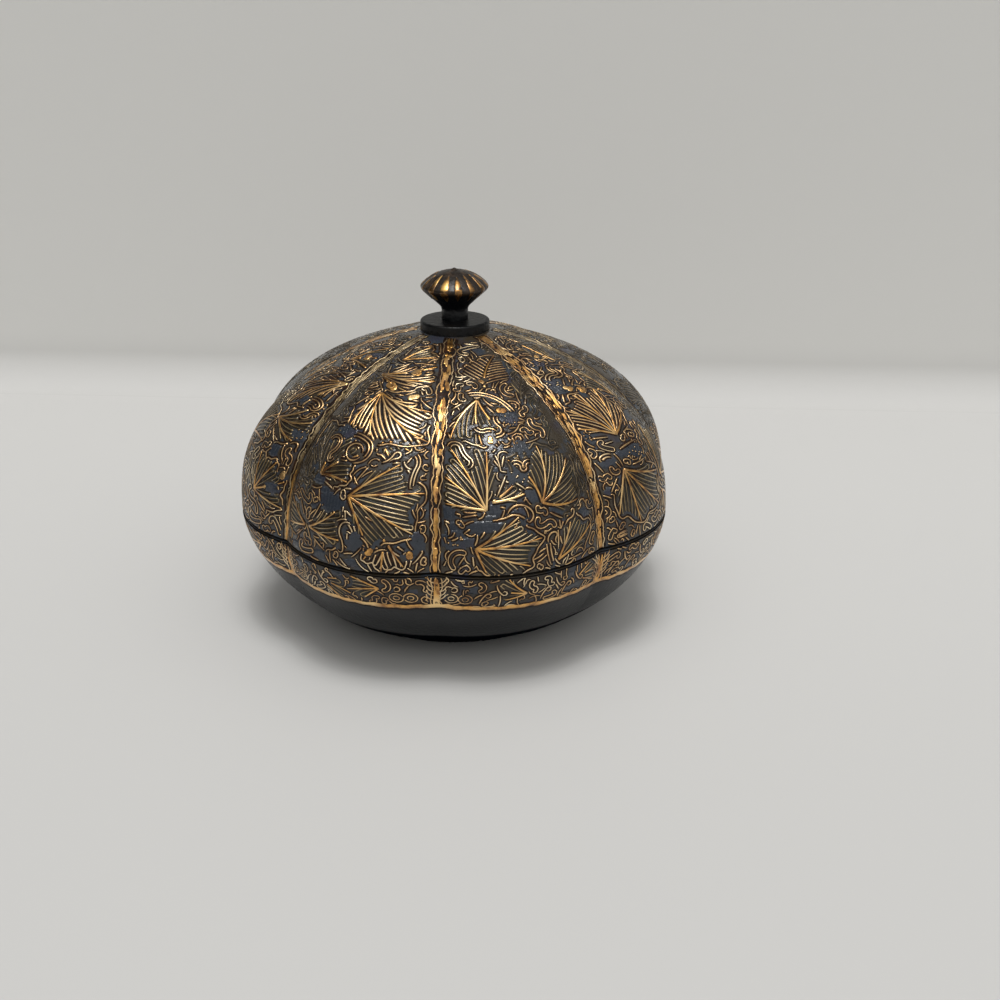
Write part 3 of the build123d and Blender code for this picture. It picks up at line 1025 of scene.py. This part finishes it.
def valley_stripe(lobe, low, high, widths, strands=4, rich=True, gap=4):
    """On the valley at the lobe's left side, in the chart's units, from y low to y high.

    Each strand is a row of short strokes with gaps of up to gap chart points between them.
    """
    dice = lobe.dice
    y = np.arange(low, high, STROKE_STEP)
    share = (y - low) / max(high - low, 1)
    left = -lobe.chart.half_width(y) + wander(dice, len(y), 0.16, 9)
    wide = np.interp(share, STRIPE_SHARES, widths) * (1.0 if rich else POOR_WIDTH)
    whole = np.stack([left, y], axis=1)
    lobe.under.stroke(
        lobe.chart, lobe.number, whole, wide + 2 * STRIPE_EDGE, UNDER_PROUD[EDGE], ARCH_FLAT, EDGE,
    )
    for strand in range(strands):
        across = (strand / (strands - 1) - 0.5) * (wide - 0.45)
        path = np.stack([left + across + wander(dice, len(y), 0.12, 4), y], axis=1)
        start = 0
        while start < len(y) - 3:
            run = dice.randint(*DAB_LENGTH)
            part = slice(start, min(start + run, len(y)))
            if part.stop - part.start >= 3:
                width = tapered(part.stop - part.start, dice.uniform(*DAB_WIDTH), 0.4, 0.3, 0.25)
                load = VEIN if not rich and y[part.start] > THIN_FROM else RIB
                lobe.gold.stroke(
                    lobe.chart, lobe.number, path[part], width, FLAT_PROUD, ARCH_FLAT, load,
                )
            start += run + dice.randint(0, gap)
    load = LINE if rich else VEIN
    for side in (-1, 1):
        beside = left + side * (wide / 2 + 0.45) + wander(dice, len(y), 0.3, 3)
        path = np.stack([beside, y], axis=1)
        lobe.gold.stroke(lobe.chart, lobe.number, path, SIDE_LINE, GOLD_PROUD, ARCH_FINE, load)


# %% [markdown]
# Where the leaves stand
#
# The four lobes that face the camera have their ornament where the photograph shows it. The lobes
# behind take the same plans with other draws and other flanks worn, because nothing shows how they
# were painted. A plan is written in chart millimetres:
#
# - leaves: base x, y; ribs as (heading, length); degrees of veins outside the ribs; boldness
# - scrolls: start x, y; heading; parts as (length, turn); distance of a second line, or 0
# - blobs: x, y; size
# - open: x, y; half width; half height
# - dots: x, y; reach; count
# - the shaded side: which flank's gold is darkened as painted shade, the left (-1) or the right (1)

# %% Leaf places, by lobe
FRONT_LEFT = {
    "thin_side": -1,
    "leaves": (
        (-2.0, 43.8, ((-118, 11.5), (-88, 14), (-56, 20), (-29, 15)), 16, 2.0),
        (-5.5, 49.8, ((10, 13), (-14, 15), (-36, 10)), 20, 1.6),
        (-3.0, 56.0, ((25, 8), (65, 8)), 24, 1.0),
        (0.5, 17.0, ((44, 13), (12, 17), (-22, 17), (-58, 12)), 18, 1.0),
        (-8.5, 20.5, ((122, 13), (84, 13), (46, 11), (6, 8)), 20, 1.0),
        (-10.0, 8.0, ((24, 11), (-14, 11)), 24, 1.0),
        (-11.5, 8.0, ((150, 9), (195, 9)), 24, 1.0),
        (10.0, 8.4, ((-60, 7.5), (-100, 7.5), (-140, 7)), 20, 1.2),
        (-15.0, 31.0, ((110, 9), (75, 10)), 24, 1.0),
        (-15.0, 29.0, ((-70, 10), (-105, 9)), 24, 1.0),
        (3.5, 31.5, ((-15, 8), (-50, 6)), 20, 1.0),
    ),
    "scrolls": (
        (-8.7, 28.6, 60, ((1.6, -60), (1.8, -90), (2.4, -50), (2.2, 60), (1.8, 110), (1.4, 50)), 0.7),
        (1.0, 27.0, 95, ((12.0, 335),), 0.0),
        (-4.4, 30.2, 30, ((2.6, -40), (2.8, -20), (2.6, -60), (2.4, -60), (2.4, -40), (3.0, 20)), 0.8),
        (6.0, 25.5, 20, ((3.0, 60), (3.5, -250), (2.0, 60)), 0.0),
        (12.5, 28.0, -40, ((3.0, -60), (4.5, 20), (1.2, 170)), 0.7),
        (2.0, 11.0, 150, ((2.5, 90), (3.0, 60), (3.0, -40), (2.0, -170)), 0.0),
        (-1.0, 10.5, 40, ((3.0, -90), (4.0, -60), (2.0, -150)), 0.8),
        (15.5, 2.2, 80, ((4.0, -30), (1.8, -170), (3.5, -20)), 0.0),
        (10.8, 26.5, -70, ((2.5, 60), (3.0, -180)), 0.0),
        (4.5, 8.5, -30, ((3.0, -50), (2.0, 120), (3.0, -60)), 0.0),
    ),
    "blobs": (
        (-0.6, 46.4, 3.0), (2.8, 52.2, 2.4), (5.8, 43.6, 2.2), (15.2, 4.6, 2.0), (6.5, 5.0, 1.6),
    ),
    "open": (
        (-12.0, 42.0, 2.0, 7.0), (-5.0, 31.5, 2.0, 1.2), (-3.5, 14.8, 2.6, 1.8),
        (2.8, 7.2, 1.4, 1.8), (17.2, 7.6, 0.9, 2.4),
    ),
    "dots": ((-4.0, 31.0, 2.0, 3),),
}
FRONT_RIGHT = {
    "thin_side": 1,
    "leaves": (
        (-2.0, 47.0, ((79, 13),), 58, 1.2),
        (-4.8, 43.2, ((-146, 14), (-116, 13), (-88, 10)), 14, 1.0),
        (-9.0, 15.5, ((170, 9), (134, 13), (108, 16.5), (80, 15)), 18, 1.1),
        (3.6, 16.0, ((98, 12), (62, 13), (26, 14), (-24, 10)), 20, 1.0),
        (-12.0, 6.8, ((32, 12), (2, 15), (-26, 13), (-70, 6)), 18, 1.0),
        (7.0, 2.4, ((20, 12), (58, 11)), 20, 1.0),
        (-7.5, 17.2, ((28, 7), (2, 8)), 20, 1.0),
        (5.5, 42.0, ((80, 10),), 40, 1.0),
    ),
    "scrolls": (
        (-6.3, 44.7, 10, ((2.5, -30), (4.0, -30), (4.0, -20), (2.0, -150)), 0.8),
        (-1.0, 45.5, 60, ((1.5, -160), (2.0, -60), (1.5, 150)), 0.0),
        (0.0, 40.2, 40, ((3.0, -60), (1.5, -120), (6.0, 10), (1.5, 150)), 0.8),
        (-2.6, 38.0, -110, ((3.0, 60), (2.5, -120), (3.5, 30)), 0.8),
        (-7.8, 35.2, -70, ((3.0, 90), (3.5, -150), (2.5, 100)), 0.8),
        (-5.5, 28.5, 20, ((2.5, 90), (4.0, -130), (5.0, 80), (2.0, -120)), 0.0),
        (0.6, 31.0, 80, ((2.2, -200), (2.4, -140), (3.2, 60)), 0.8),
        (-1.5, 25.0, 30, ((2.0, -130), (2.5, 200), (2.0, -150)), 0.8),
        (-14.0, 30.5, 60, ((2.5, -150), (3.5, 40), (2.0, -150)), 0.8),
        (4.4, 7.0, 100, ((3.0, -110), (1.5, -120), (2.0, 100)), 0.0),
        (4.0, 7.5, -90, ((5.5, 20), (1.0, 140)), 0.9),
        (11.0, 12.5, 80, ((1.5, -170), (2.0, -80), (2.5, 60)), 0.0),
        (-4.5, 14.5, 60, ((3.0, -60), (3.5, -60), (2.5, -90), (1.5, -170)), 0.0),
    ),
    "blobs": ((-0.4, 39.3, 2.2), (-5.0, 31.5, 1.6), (-2.4, 49.0, 1.6)),
    "open": (
        (12.6, 34.0, 2.4, 9.0), (-10.0, 11.8, 3.8, 0.8), (0.6, 36.8, 1.4, 1.5),
        (0.8, 29.0, 1.8, 1.3), (1.2, 17.8, 1.0, 1.2), (-0.8, 22.3, 1.8, 1.0),
        (-17.5, 15.0, 0.9, 1.2), (-16.5, 11.5, 0.8, 1.0),
    ),
    "dots": (
        (0.4, 36.5, 1.8, 7), (0.6, 29.3, 2.4, 8), (-1.2, 12.5, 2.4, 8), (-16.5, 8.5, 1.8, 7),
        (-1.0, 22.5, 2.0, 5),
    ),
}
FAR_RIGHT = {
    "thin_side": 1,
    "leaves": (
        (-7.0, 26.0, ((142, 11), (112, 13), (84, 13.5), (54, 14), (24, 9)), 16, 1.3),
        (-10.8, 17.8, ((-124, 11), (-92, 14), (-60, 16), (-28, 13)), 16, 1.0),
        (3.5, 12.0, ((95, 13), (60, 13), (25, 13), (-12, 11)), 20, 1.0),
        (4.5, 34.0, ((45, 10), (85, 11), (125, 8)), 20, 1.0),
        (1.0, 50.0, ((60, 9), (100, 9)), 24, 1.0),
        (3.0, 8.0, ((-20, 11), (-60, 7)), 20, 1.0),
    ),
    "scrolls": (
        (-13.5, 3.4, 180, ((2.5, 30), (1.0, 150), (3.0, 10)), 0.8),
        (-8.0, 45.5, 60, ((3.0, -90), (3.0, 150), (2.0, -140)), 0.8),
        (-4.0, 57.0, -150, ((2.0, 150), (2.0, -120), (3.0, 60)), 0.8),
        (-12.0, 22.2, 150, ((3.0, 60), (2.0, 140), (2.0, -60)), 0.8),
        (-9.0, 22.5, 10, ((6.0, -15), (1.5, -170)), 0.0),
        (-14.5, 38.0, 60, ((2.5, -150), (2.0, 120)), 0.0),
        (-8.5, 52.0, 20, ((3.0, 60), (2.5, -170), (2.0, 100)), 0.0),
        (-2.5, 49.0, 200, ((2.0, 90), (2.5, -150), (2.5, 90)), 0.8),
        (-3.0, 44.0, -60, ((2.0, 190), (2.5, -120), (2.5, 120)), 0.8),
    ),
    "blobs": ((-3.6, 39.6, 2.4), (-6.5, 41.5, 2.0), (-1.5, 53.8, 1.8)),
    "open": (
        (-15.5, 29.0, 0.9, 1.6), (-14.0, 20.5, 2.0, 0.7), (-9.5, 42.5, 1.4, 1.4),
        (-5.0, 21.0, 1.6, 1.0),
    ),
    "dots": (
        (-4.5, 20.8, 2.6, 10), (-9.0, 43.5, 2.4, 8), (-14.5, 28.0, 1.6, 5), (-5.5, 51.5, 1.8, 6),
    ),
}
FAR_LEFT = {
    "thin_side": -1,
    "leaves": (
        (10.5, 44.0, ((190, 12), (212, 15), (240, 11)), 24, 1.3),
        (1.0, 50.0, ((15, 9), (50, 10), (85, 9)), 20, 1.0),
        (4.0, 28.0, ((25, 12), (-4, 14), (-34, 12)), 18, 1.0),
        (8.0, 10.0, ((-14, 11), (20, 11), (54, 10), (92, 9)), 20, 1.0),
        (-6.0, 20.0, ((140, 12), (100, 13), (60, 12), (20, 10)), 20, 1.0),
        (-9.0, 8.0, ((14, 12), (-22, 11)), 22, 1.0),
        (-11.0, 8.0, ((165, 9), (200, 8)), 22, 1.0),
        (-4.0, 38.0, ((160, 8), (120, 10), (80, 9)), 22, 1.0),
    ),
    "scrolls": (
        (8.0, 36.0, 20, ((3.5, -60), (2.0, -170), (2.5, 60)), 0.8),
        (10.0, 31.0, -30, ((3.0, 120), (2.5, -180)), 0.8),
        (14.0, 24.0, 60, ((3.0, -150), (2.0, 100)), 0.0),
        (9.0, 52.0, -60, ((3.0, 120), (2.0, -170)), 0.0),
        (17.0, 12.0, 90, ((2.5, 150), (2.5, -160)), 0.8),
    ),
    "blobs": ((4.0, 53.0, 2.0), (17.0, 16.5, 1.8)),
    "open": (
        (6.0, 35.0, 1.2, 0.7), (14.0, 27.0, 1.4, 1.0), (5.0, 55.0, 1.2, 0.6), (15.0, 12.0, 1.8, 0.9),
    ),
    "dots": ((13.5, 33.0, 2.4, 8), (14.0, 27.0, 1.6, 5)),
}
# lobe number, plan, mirror, and from which share of the half width a flank's gold is darkened as
# painted shade: below 0 the shaded part takes in more than half of the lobe
LAYOUTS = (
    (0, FRONT_RIGHT, 1, 0.5),
    (1, FAR_RIGHT, 1, 0.3),
    (2, FRONT_LEFT, 1, -0.5),
    (3, FRONT_RIGHT, 1, 0.5),
    (4, FAR_LEFT, -1, 0.4),
    (5, FRONT_RIGHT, 1, -0.8),
    (6, FAR_LEFT, 1, 0.3),
    (7, FRONT_LEFT, 1, 0.5),
)

# %% [markdown]
# Painting the lid
#
# The order is the painter's. Open ground is set aside and laid with slate, then come pressed
# touches of gold, the main scrolls, the leaves that fit round them, and the dots. Last, loops and
# hooks fill what is left, large ones first. A line of a scroll or leaf stops where it meets what is
# already painted.

# %% Paint the lid, lobe by lobe
PLAIN_FLANK = 5.0                      # mm: an open oval at least half this high gets no slate
SLATE_PAST = 0.6                       # mm that slate reaches past an open oval
DOTS_PAST = 0.8                        # and past a group of dots
SCROLL_WIDTH = 0.42
# shortest, longest and half width in mm, and the number of bare spots tried
LID_LOOPS = ((5.0, 9.0, 0.55, 160), (2.0, 4.5, 0.55, 240), (0.8, 1.6, 0.5, 120))
# shortest and longest in mm, and the number of bare spots tried
LID_HOOKS = ((3.5, 7.0, 500), (1.6, 3.0, 300))


def paint_lid_lobe(lobe, plan):
    """Paints one lobe of the lid by its plan, then fills it."""
    lobe.thin_side = plan["thin_side"]
    for x, y, wide, high in plan["open"]:
        keep_open(lobe, x, y, wide, high)
        if high < PLAIN_FLANK:
            lay_slate(lobe, x, y, wide + SLATE_PAST, high + SLATE_PAST)
    for x, y, reach, count in plan["dots"]:
        lay_slate(lobe, x, y, reach + DOTS_PAST, reach + DOTS_PAST)
    for x, y, size in plan["blobs"]:
        paint_blob(lobe, x, y, size)
    for x, y, heading, turns, double in plan["scrolls"]:
        paint_scroll(lobe, x, y, heading, turns, SCROLL_WIDTH, double)
    for x, y, spines, outer, bold in plan["leaves"]:
        paint_leaf(lobe, x, y, spines, outer=outer, bold=bold, outline=len(spines) > 1)
    for x, y, reach, count in plan["dots"]:
        paint_dots(lobe, x, y, reach, count)
    keep_some_open(lobe, 7, 0.8, 1.8)
    for sizes in LID_LOOPS:
        fill_with_loops(lobe, *sizes)
    for sizes in LID_HOOKS:
        fill_with_hooks(lobe, *sizes)


def build_lobe(lobe, body):
    """Makes the lobe's two pieces, which ride on this body."""
    lobe.under.build("%s_shading_%d" % (body, lobe.number), body, SHADING, "body_lacquer")
    lobe.gold.build("%s_gilding_%d" % (body, lobe.number), body, GILDING, "gold_paint")


THIN_STRIPES = (2, 5, 7)               # lobes whose valley has thin, worn gold
STRIPE_LOAD = {0: (0.9, 9), 1: (1.3, 2)}   # lobe number to share of the width and longest gap
PLAIN_STRIPE = (1.0, 4)
LID_STRIPE = (0.9, 1.1, 2.2, 1.4)      # mm wide, from the seam to the plate
for number, plan, mirror, shaded_share in LAYOUTS:
    lobe = Lobe(number, 100 + number, mirror)
    lobe.shaded_share = shaded_share
    paint_lid_lobe(lobe, plan)
    broad, gap = STRIPE_LOAD.get(number, PLAIN_STRIPE)
    widths = [broad * w for w in LID_STRIPE]
    valley_stripe(lobe, 0.65, LID_TOP - 0.3, widths, 4, number not in THIN_STRIPES, gap)
    build_lobe(lobe, "lid")

# %% [markdown]
# Painted shade at the seam
#
# The rims of lid and bowl meet in a dark line, the shade in the narrow gap between them. A flat matt
# black band 0.4 mm wide is drawn on each lip as painted shade, so it reflects nothing.

# %% Painted shade on the lips at the seam
# painted shade: a near-black matt finish standing in for the shade in the gap at the seam
seam_shade_finish, seam_shade_tree, seam_shade_shader = new_finish("painted_seam_shade", {
    "Roughness": 0.9,
    "Specular IOR Level": 0.05,
})
seam_shade_place = add_node(seam_shade_tree, "ShaderNodeTexCoord").outputs["Object"]
seam_shade_colour = dabbed(seam_shade_tree, seam_shade_place, "#030303", "#120d0a", 1.5)
seam_shade_tree.links.new(seam_shade_colour, seam_shade_shader.inputs["Base Color"])
SEAM_SHADE_PROUD = 0.06


def paint_seam_shade(chart, name, body, y, width):
    """A matt black band of painted shade round the whole rim, at this height from the seam."""
    band = Paint()
    half = float(chart.half_width(y))
    x = np.linspace(-half, half, 90)
    path = np.stack([x, np.full(len(x), y)], axis=1)
    for number in range(LOBES):
        band.stroke(chart, number, path, width, SEAM_SHADE_PROUD, ARCH_FLAT)
    band.build(name, body, (seam_shade_finish,), "body_lacquer")


paint_seam_shade(LID_CHART, "lid_seam_shade", "lid", 0.42, 0.4)
paint_seam_shade(BOWL_CHART, "bowl_seam_shade", "bowl", -0.4, 0.4)

# %% [markdown]
# The band on the bowl
#
# The bowl carries the same ornament in a band nine millimetres deep under the seam, closed by a
# gold line a millimetre and a half wide. Half leaves, curls and pairs of rings stand in it, and a
# small tree of curved strokes marks each valley.

# %% Paint the bowl's band
BAND_MIDDLE = -5.0                     # the chart's y at which the band's width is measured
BAND_STRIPE = (1.6, 1.2, 1.2, 1.4)
BORDER_Y, BORDER_WIDTH, BORDER_EDGE = -9.0, 1.6, 0.45
BRANCHES, BRANCH_GAP = 5, 1.2          # of the small tree in each valley


def paint_band_ornament(lobe, half):
    """Half leaves, rings and curls, side by side from one valley to the next."""
    dice = lobe.dice
    x = -half + 5.0
    while x < half - 4.0:
        kind = dice.choice(("leaf", "leaf", "rings", "curls"))
        if kind == "leaf":
            side = dice.choice((-1, 1))
            base = x + (3.5 if side < 0 else -3.0)
            heading = 0 if side > 0 else 180
            tilt = dice.uniform(-12, 12)
            fan = [(heading + tilt + a, r) for a, r in ((-26, 7), (6, 8), (36, 5))]
            paint_leaf(lobe, base, -4.6 + dice.uniform(-1, 1), fan, 0.9, 0.5, 14, outline=False)
            x += 8.5
        elif kind == "rings":
            paint_ring(lobe, x - 1.4, -6.2, 1.6)
            paint_ring(lobe, x + 1.8, -6.2, 1.6)
            paint_scroll(lobe, x - 1.5, -3.6, 70, ((2.2, -190), (1.8, -120)), 0.38)
            x += 6.5
        else:
            paint_scroll(lobe, x - 1.5, -7.5, 80, ((3.0, -30), (2.2, -200), (1.2, -120)), 0.4)
            paint_scroll(lobe, x + 2.0, -2.0, -80, ((3.0, 40), (2.0, 200), (1.0, 100)), 0.4)
            x += 5.5


def paint_band(lobe):
    """Paints the band on one lobe of the bowl, with its valley on the left and its border line."""
    dice = lobe.dice
    lobe.use_bowl()
    half = float(BOWL_CHART.half_width(BAND_MIDDLE))
    paint_band_ornament(lobe, half)
    keep_some_open(lobe, 5, 0.6, 1.2)
    fill_with_loops(lobe, 2.5, 5.0, 0.5, 60)
    fill_with_loops(lobe, 0.8, 1.6, 0.5, 20)
    fill_with_hooks(lobe, 1.5, 3.5, 260)
    for side in (-1, 1):
        for n in range(BRANCHES):
            y = -2.2 - n * BRANCH_GAP
            branch = arc(side * 0.6 - half, y, 90 - side * 70, 2.6, side * 70)
            lobe.gold.stroke(BOWL_CHART, lobe.number, branch, 0.36, GOLD_PROUD, ARCH_FINE, LINE)
    valley_stripe(lobe, -8.9, -0.65, BAND_STRIPE, 3)
    x = np.arange(-half - 0.4, half + 0.5, 0.5)
    wave = 0.12 * np.sin(x * 1.3) + np.array([dice.uniform(-0.07, 0.07) for _ in x])
    path = np.stack([x, BORDER_Y + wave], axis=1)
    wide = BORDER_WIDTH + wander(dice, len(x), 0.25, 3)
    lobe.gold.stroke(BOWL_CHART, lobe.number, path, wide, RIB_PROUD, ARCH_BROAD, RIB)
    lobe.under.stroke(
        BOWL_CHART, lobe.number, path, wide + 2 * BORDER_EDGE, UNDER_PROUD[EDGE], ARCH_FLAT, EDGE,
    )


for number in range(LOBES):
    lobe = Lobe(number, 300 + number)
    paint_band(lobe)
    build_lobe(lobe, "bowl")

# %% [markdown]
# Gold petals on the knob
#
# The turned knob is dark, with narrow gold petals painted from near its tip down over the edge and
# a little below it. They end in points, and no two are quite alike. They are found on the knob by
# rays, as the lobes are, and are thin closed ribbons like every other stroke.

# %% Petals on the knob
PETALS = 14
PETAL_STEPS = 22
PETAL_TOP, PETAL_LOW = 52, -8          # degrees above the knob's edge where a petal starts and ends
PETAL_HALF, PETAL_POINT = 0.14, 0.004  # radians: half width at its broadest, and at its points
knob_tree = surface_tree("knob")
KNOB_EDGE_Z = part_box("knob")[1].z - 4.5 * MM
KNOB_CENTRE_Z = KNOB_EDGE_Z - 1.5 * MM


def paint_petals():
    """Ribbons round the knob, each from its lower point up."""
    dice = random.Random(7)
    petals = Paint()
    for n in range(PETALS):
        middle = (n + 0.5) * 2 * math.pi / PETALS + dice.uniform(-0.03, 0.03)
        top = PETAL_TOP + dice.uniform(-8, 6)
        low = PETAL_LOW + dice.uniform(-6, 4)
        broadest = PETAL_HALF + 0.03 * math.sin(5 * n)
        points = []
        for s in np.linspace(1, 0, PETAL_STEPS):
            angle = math.radians(top + (low - top) * s)
            swell = math.sin(math.pi * min(1.0, 0.1 + 0.9 * s) ** 1.3) ** 0.7
            half = broadest * swell + PETAL_POINT
            for across, sunk, up in ARCH_BROAD:
                place, out = ray_hit(knob_tree, KNOB_CENTRE_Z, middle + across * half, angle)
                points.append(place + out * (sunk + up * RIB_PROUD) * MM)
        petals.add_ribbon(np.array(points), len(ARCH_BROAD), 0)
    petals.build("knob_petals", "lid", (petal_gold,), "gold_paint")


paint_petals()

# %% [markdown]
# Finishes of the solids
#
# The lid and bowl keep their CAD meshes and get the ground lacquer. Knob and plate are turned
# wood: the plate is under dull black lacquer, and the knob's dome is umber between its petals and
# black below its edge. The foot and the collar are pasteboard under black lacquer, duller still.
# The foot is made blacker and almost without varnish, as painted shade where it stands under the bowl.
# Washer and screw, inside the lid, are plain brass and zinc-plated steel, seen as metals with
# faint clouds where they were handled. A metal keeps the default IOR.

# %% Black lacquer, brass and steel
black_wood = clouded_lacquer("black_lacquered_wood", "#050506", "#0b0b0d", "#0f0c09", 4.0, 0.25, 0.2)
knob_wood = clouded_lacquer(
    "umber_lacquered_knob", "#1c150f", "#35281d", "#2a2019", 1.6, 0.4, 0.25, KNOB_EDGE_Z - 0.6 * MM,
)
# painted shade: the foot is near black and almost unvarnished, to read as the shadowed crescent under
# the bowl
foot_black_and_shade = clouded_lacquer("foot_black_painted_shade", "#020203", "#050506", "#040404", 6.0, 0.08, 0.3)
black_board = clouded_lacquer("black_lacquered_board", "#060607", "#0c0c0e", "#0f0d0a", 6.0, 0.3)


def bare_metal(name, bright, dull, rough):
    """Bare metal, bright with duller clouds about a millimetre across."""
    finish, tree, shader = new_finish(name, {"Metallic": 1.0, "Roughness": rough})
    place = add_node(tree, "ShaderNodeTexCoord").outputs["Object"]
    colour = dabbed(tree, place, bright, dull, 0.8, detail=4.0)
    tree.links.new(colour, shader.inputs["Base Color"])
    return finish


brass = bare_metal("turned_brass", "#c9a557", "#a08344", 0.3)
steel = bare_metal("zinc_plated_steel", "#b4b6b8", "#8f9192", 0.35)
FINISHES = {
    "lid_shell": ground,
    "bowl_shell": bowl_ground,
    "foot_disc": foot_black_and_shade,
    "mouth_collar": black_board,
    "knob_plate": black_wood,
    "knob": knob_wood,
    "knob_washer": brass,
    "knob_screw": steel,
}
for node, finish in FINISHES.items():
    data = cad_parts[node].data
    data.materials.clear()
    data.materials.append(finish)
    print(node, "gets", finish.name)

# %% [markdown]
# Table and backdrop
#
# The box stands on a wide, pale, matt table. Close behind it stands a low card of the same kind
# whose foot curves into the table, so the line between the two is soft, and the card is a little
# darker at its foot. The two are one object with two materials. The card shows from the front
# only: seen from its back it is clear, so that a view from behind isn't blocked.

# %% Matt laminate and card
WALL_Y, WALL_TOP, WALL_HALF = 0.171, 0.19, 0.34    # m: the card's place, height and half width
CURVE = 0.014                                      # m: radius at its foot
TABLE_HALF = 1.2
SHADED_FOOT = 1.6 * CURVE                          # height over which the card gets paler

laminate, _, _ = new_finish("pale_laminate", {
    "Base Color": linear("#bfbebc"),
    "Roughness": 0.6,
})
card, card_tree, card_shader = new_finish("pale_card", {
    "Roughness": 0.9,
    "Specular IOR Level": 0.1,
})
card_place = add_node(card_tree, "ShaderNodeTexCoord")
card_height = add_node(
    card_tree, "ShaderNodeSeparateXYZ", links={"Vector": card_place.outputs["Object"]},
)
card_rise = add_node(
    card_tree, "ShaderNodeMapRange", {"interpolation_type": "SMOOTHSTEP"},
    {"From Min": 0.0, "From Max": SHADED_FOOT},
    {"Value": card_height.outputs["Z"]},
)
card_tone = add_node(
    card_tree, "ShaderNodeMix", {"data_type": "RGBA"},
    {MIX_A: linear("#bdbcba"), MIX_B: linear("#cfcecb")},
    {"Factor": card_rise.outputs["Result"]},
)
card_tree.links.new(card_tone.outputs[MIX_COLOUR], card_shader.inputs["Base Color"])
card_side = add_node(card_tree, "ShaderNodeNewGeometry")
card_back = add_node(card_tree, "ShaderNodeBsdfTransparent")
one_sided = add_node(
    card_tree, "ShaderNodeMixShader",
    links={0: card_side.outputs["Backfacing"], 1: card_shader.outputs[0], 2: card_back.outputs[0]},
)
card_tree.links.new(one_sided.outputs[0], card_tree.nodes["Material Output"].inputs["Surface"])


# %% Table and backdrop
def make_stage():
    """A wide table, and a lower curved card behind the box; rows run from left to right."""
    quarter = np.linspace(0, math.pi / 2, 13)
    rows = [(TABLE_HALF, -TABLE_HALF, 0.0), (TABLE_HALF, TABLE_HALF, 0.0)]
    rows += [
        (WALL_HALF, WALL_Y - CURVE + CURVE * math.sin(a), CURVE - CURVE * math.cos(a))
        for a in quarter
    ]
    rows.append((WALL_HALF, WALL_Y, WALL_TOP))
    points = [(x, y, z) for half, y, z in rows for x in (-half, half)]
    # row 1 ends the table and row 2 starts the card, so no face joins them
    faces = [(2 * i, 2 * i + 1, 2 * i + 3, 2 * i + 2) for i in range(len(rows) - 1) if i != 1]
    mesh = bpy.data.meshes.new("table_and_backdrop")
    mesh.from_pydata(points, [], faces)
    mesh.polygons.foreach_set("use_smooth", [True] * len(faces))
    mesh.materials.append(laminate)
    mesh.materials.append(card)
    mesh.polygons.foreach_set("material_index", [0] + [1] * (len(faces) - 1))
    sheet = bpy.data.objects.new("table_and_backdrop", mesh)
    bpy.context.scene.collection.objects.link(sheet)
    print("table and backdrop:", len(faces), "faces")


make_stage()

# %% [markdown]
# Light
#
# A white room that is brighter above and in front, as near a window, so gloss lacquer reflects a
# bright side and a dim one and the flanks of the box stay dark. A broad lamp overhead makes the
# soft shadow, and a small bright one beside it the glints on the lobes' shoulders. Together they
# light the object at a plain level, at which a colour renders about as it is written.

# %% Light
BRIGHT_SIDE = (0.22, -0.48, 0.85)      # towards the brightest part of the room
ROOM_DIM, ROOM_BRIGHT = 0.07, 1.3      # its strength on the far side and on the bright side
world = bpy.data.worlds.new("white_room")
bpy.context.scene.world = world
world.use_nodes = True
room = world.node_tree.nodes["Background"]
room.inputs["Color"].default_value = linear("#f4f4f2")
sky_way = add_node(world.node_tree, "ShaderNodeTexCoord")
sky_side = add_node(
    world.node_tree, "ShaderNodeVectorMath", {"operation": "DOT_PRODUCT"}, {1: BRIGHT_SIDE},
    {0: sky_way.outputs["Generated"]},
)
sky_level = add_node(
    world.node_tree, "ShaderNodeMapRange",
    values={"From Min": 0.25, "From Max": 1.0, "To Min": ROOM_DIM, "To Max": ROOM_BRIGHT},
    links={"Value": sky_side.outputs["Value"]},
)
world.node_tree.links.new(sky_level.outputs["Result"], room.inputs["Strength"])


def soft_lamp(name, place, aim, size, power):
    """A round lamp of this size in metres and power in watts."""
    data = bpy.data.lights.new(name, "AREA")
    data.shape = "DISK"
    data.size = size
    data.energy = power
    lamp = bpy.data.objects.new(name, data)
    bpy.context.scene.collection.objects.link(lamp)
    lamp.location = place
    lamp.rotation_mode = "QUATERNION"
    lamp.rotation_quaternion = (Vector(aim) - Vector(place)).to_track_quat("-Z", "Y")
    print(name, size, "m,", power, "W")


LAMP_AIM = (0, 0, 0.04)
soft_lamp("ceiling_panel", (0.03, -0.35, 2.2), LAMP_AIM, 1.0, 26.0)
soft_lamp("small_bright_lamp", (0.1, -0.4, 2.2), LAMP_AIM, 0.16, 3.5)

# %% [markdown]
# View
#
# The Standard view shows each colour as it is written. The painted pieces stand a few hundredths of
# a millimetre proud of the solids.

# %% View settings
bpy.context.scene.view_settings.view_transform = "Standard"
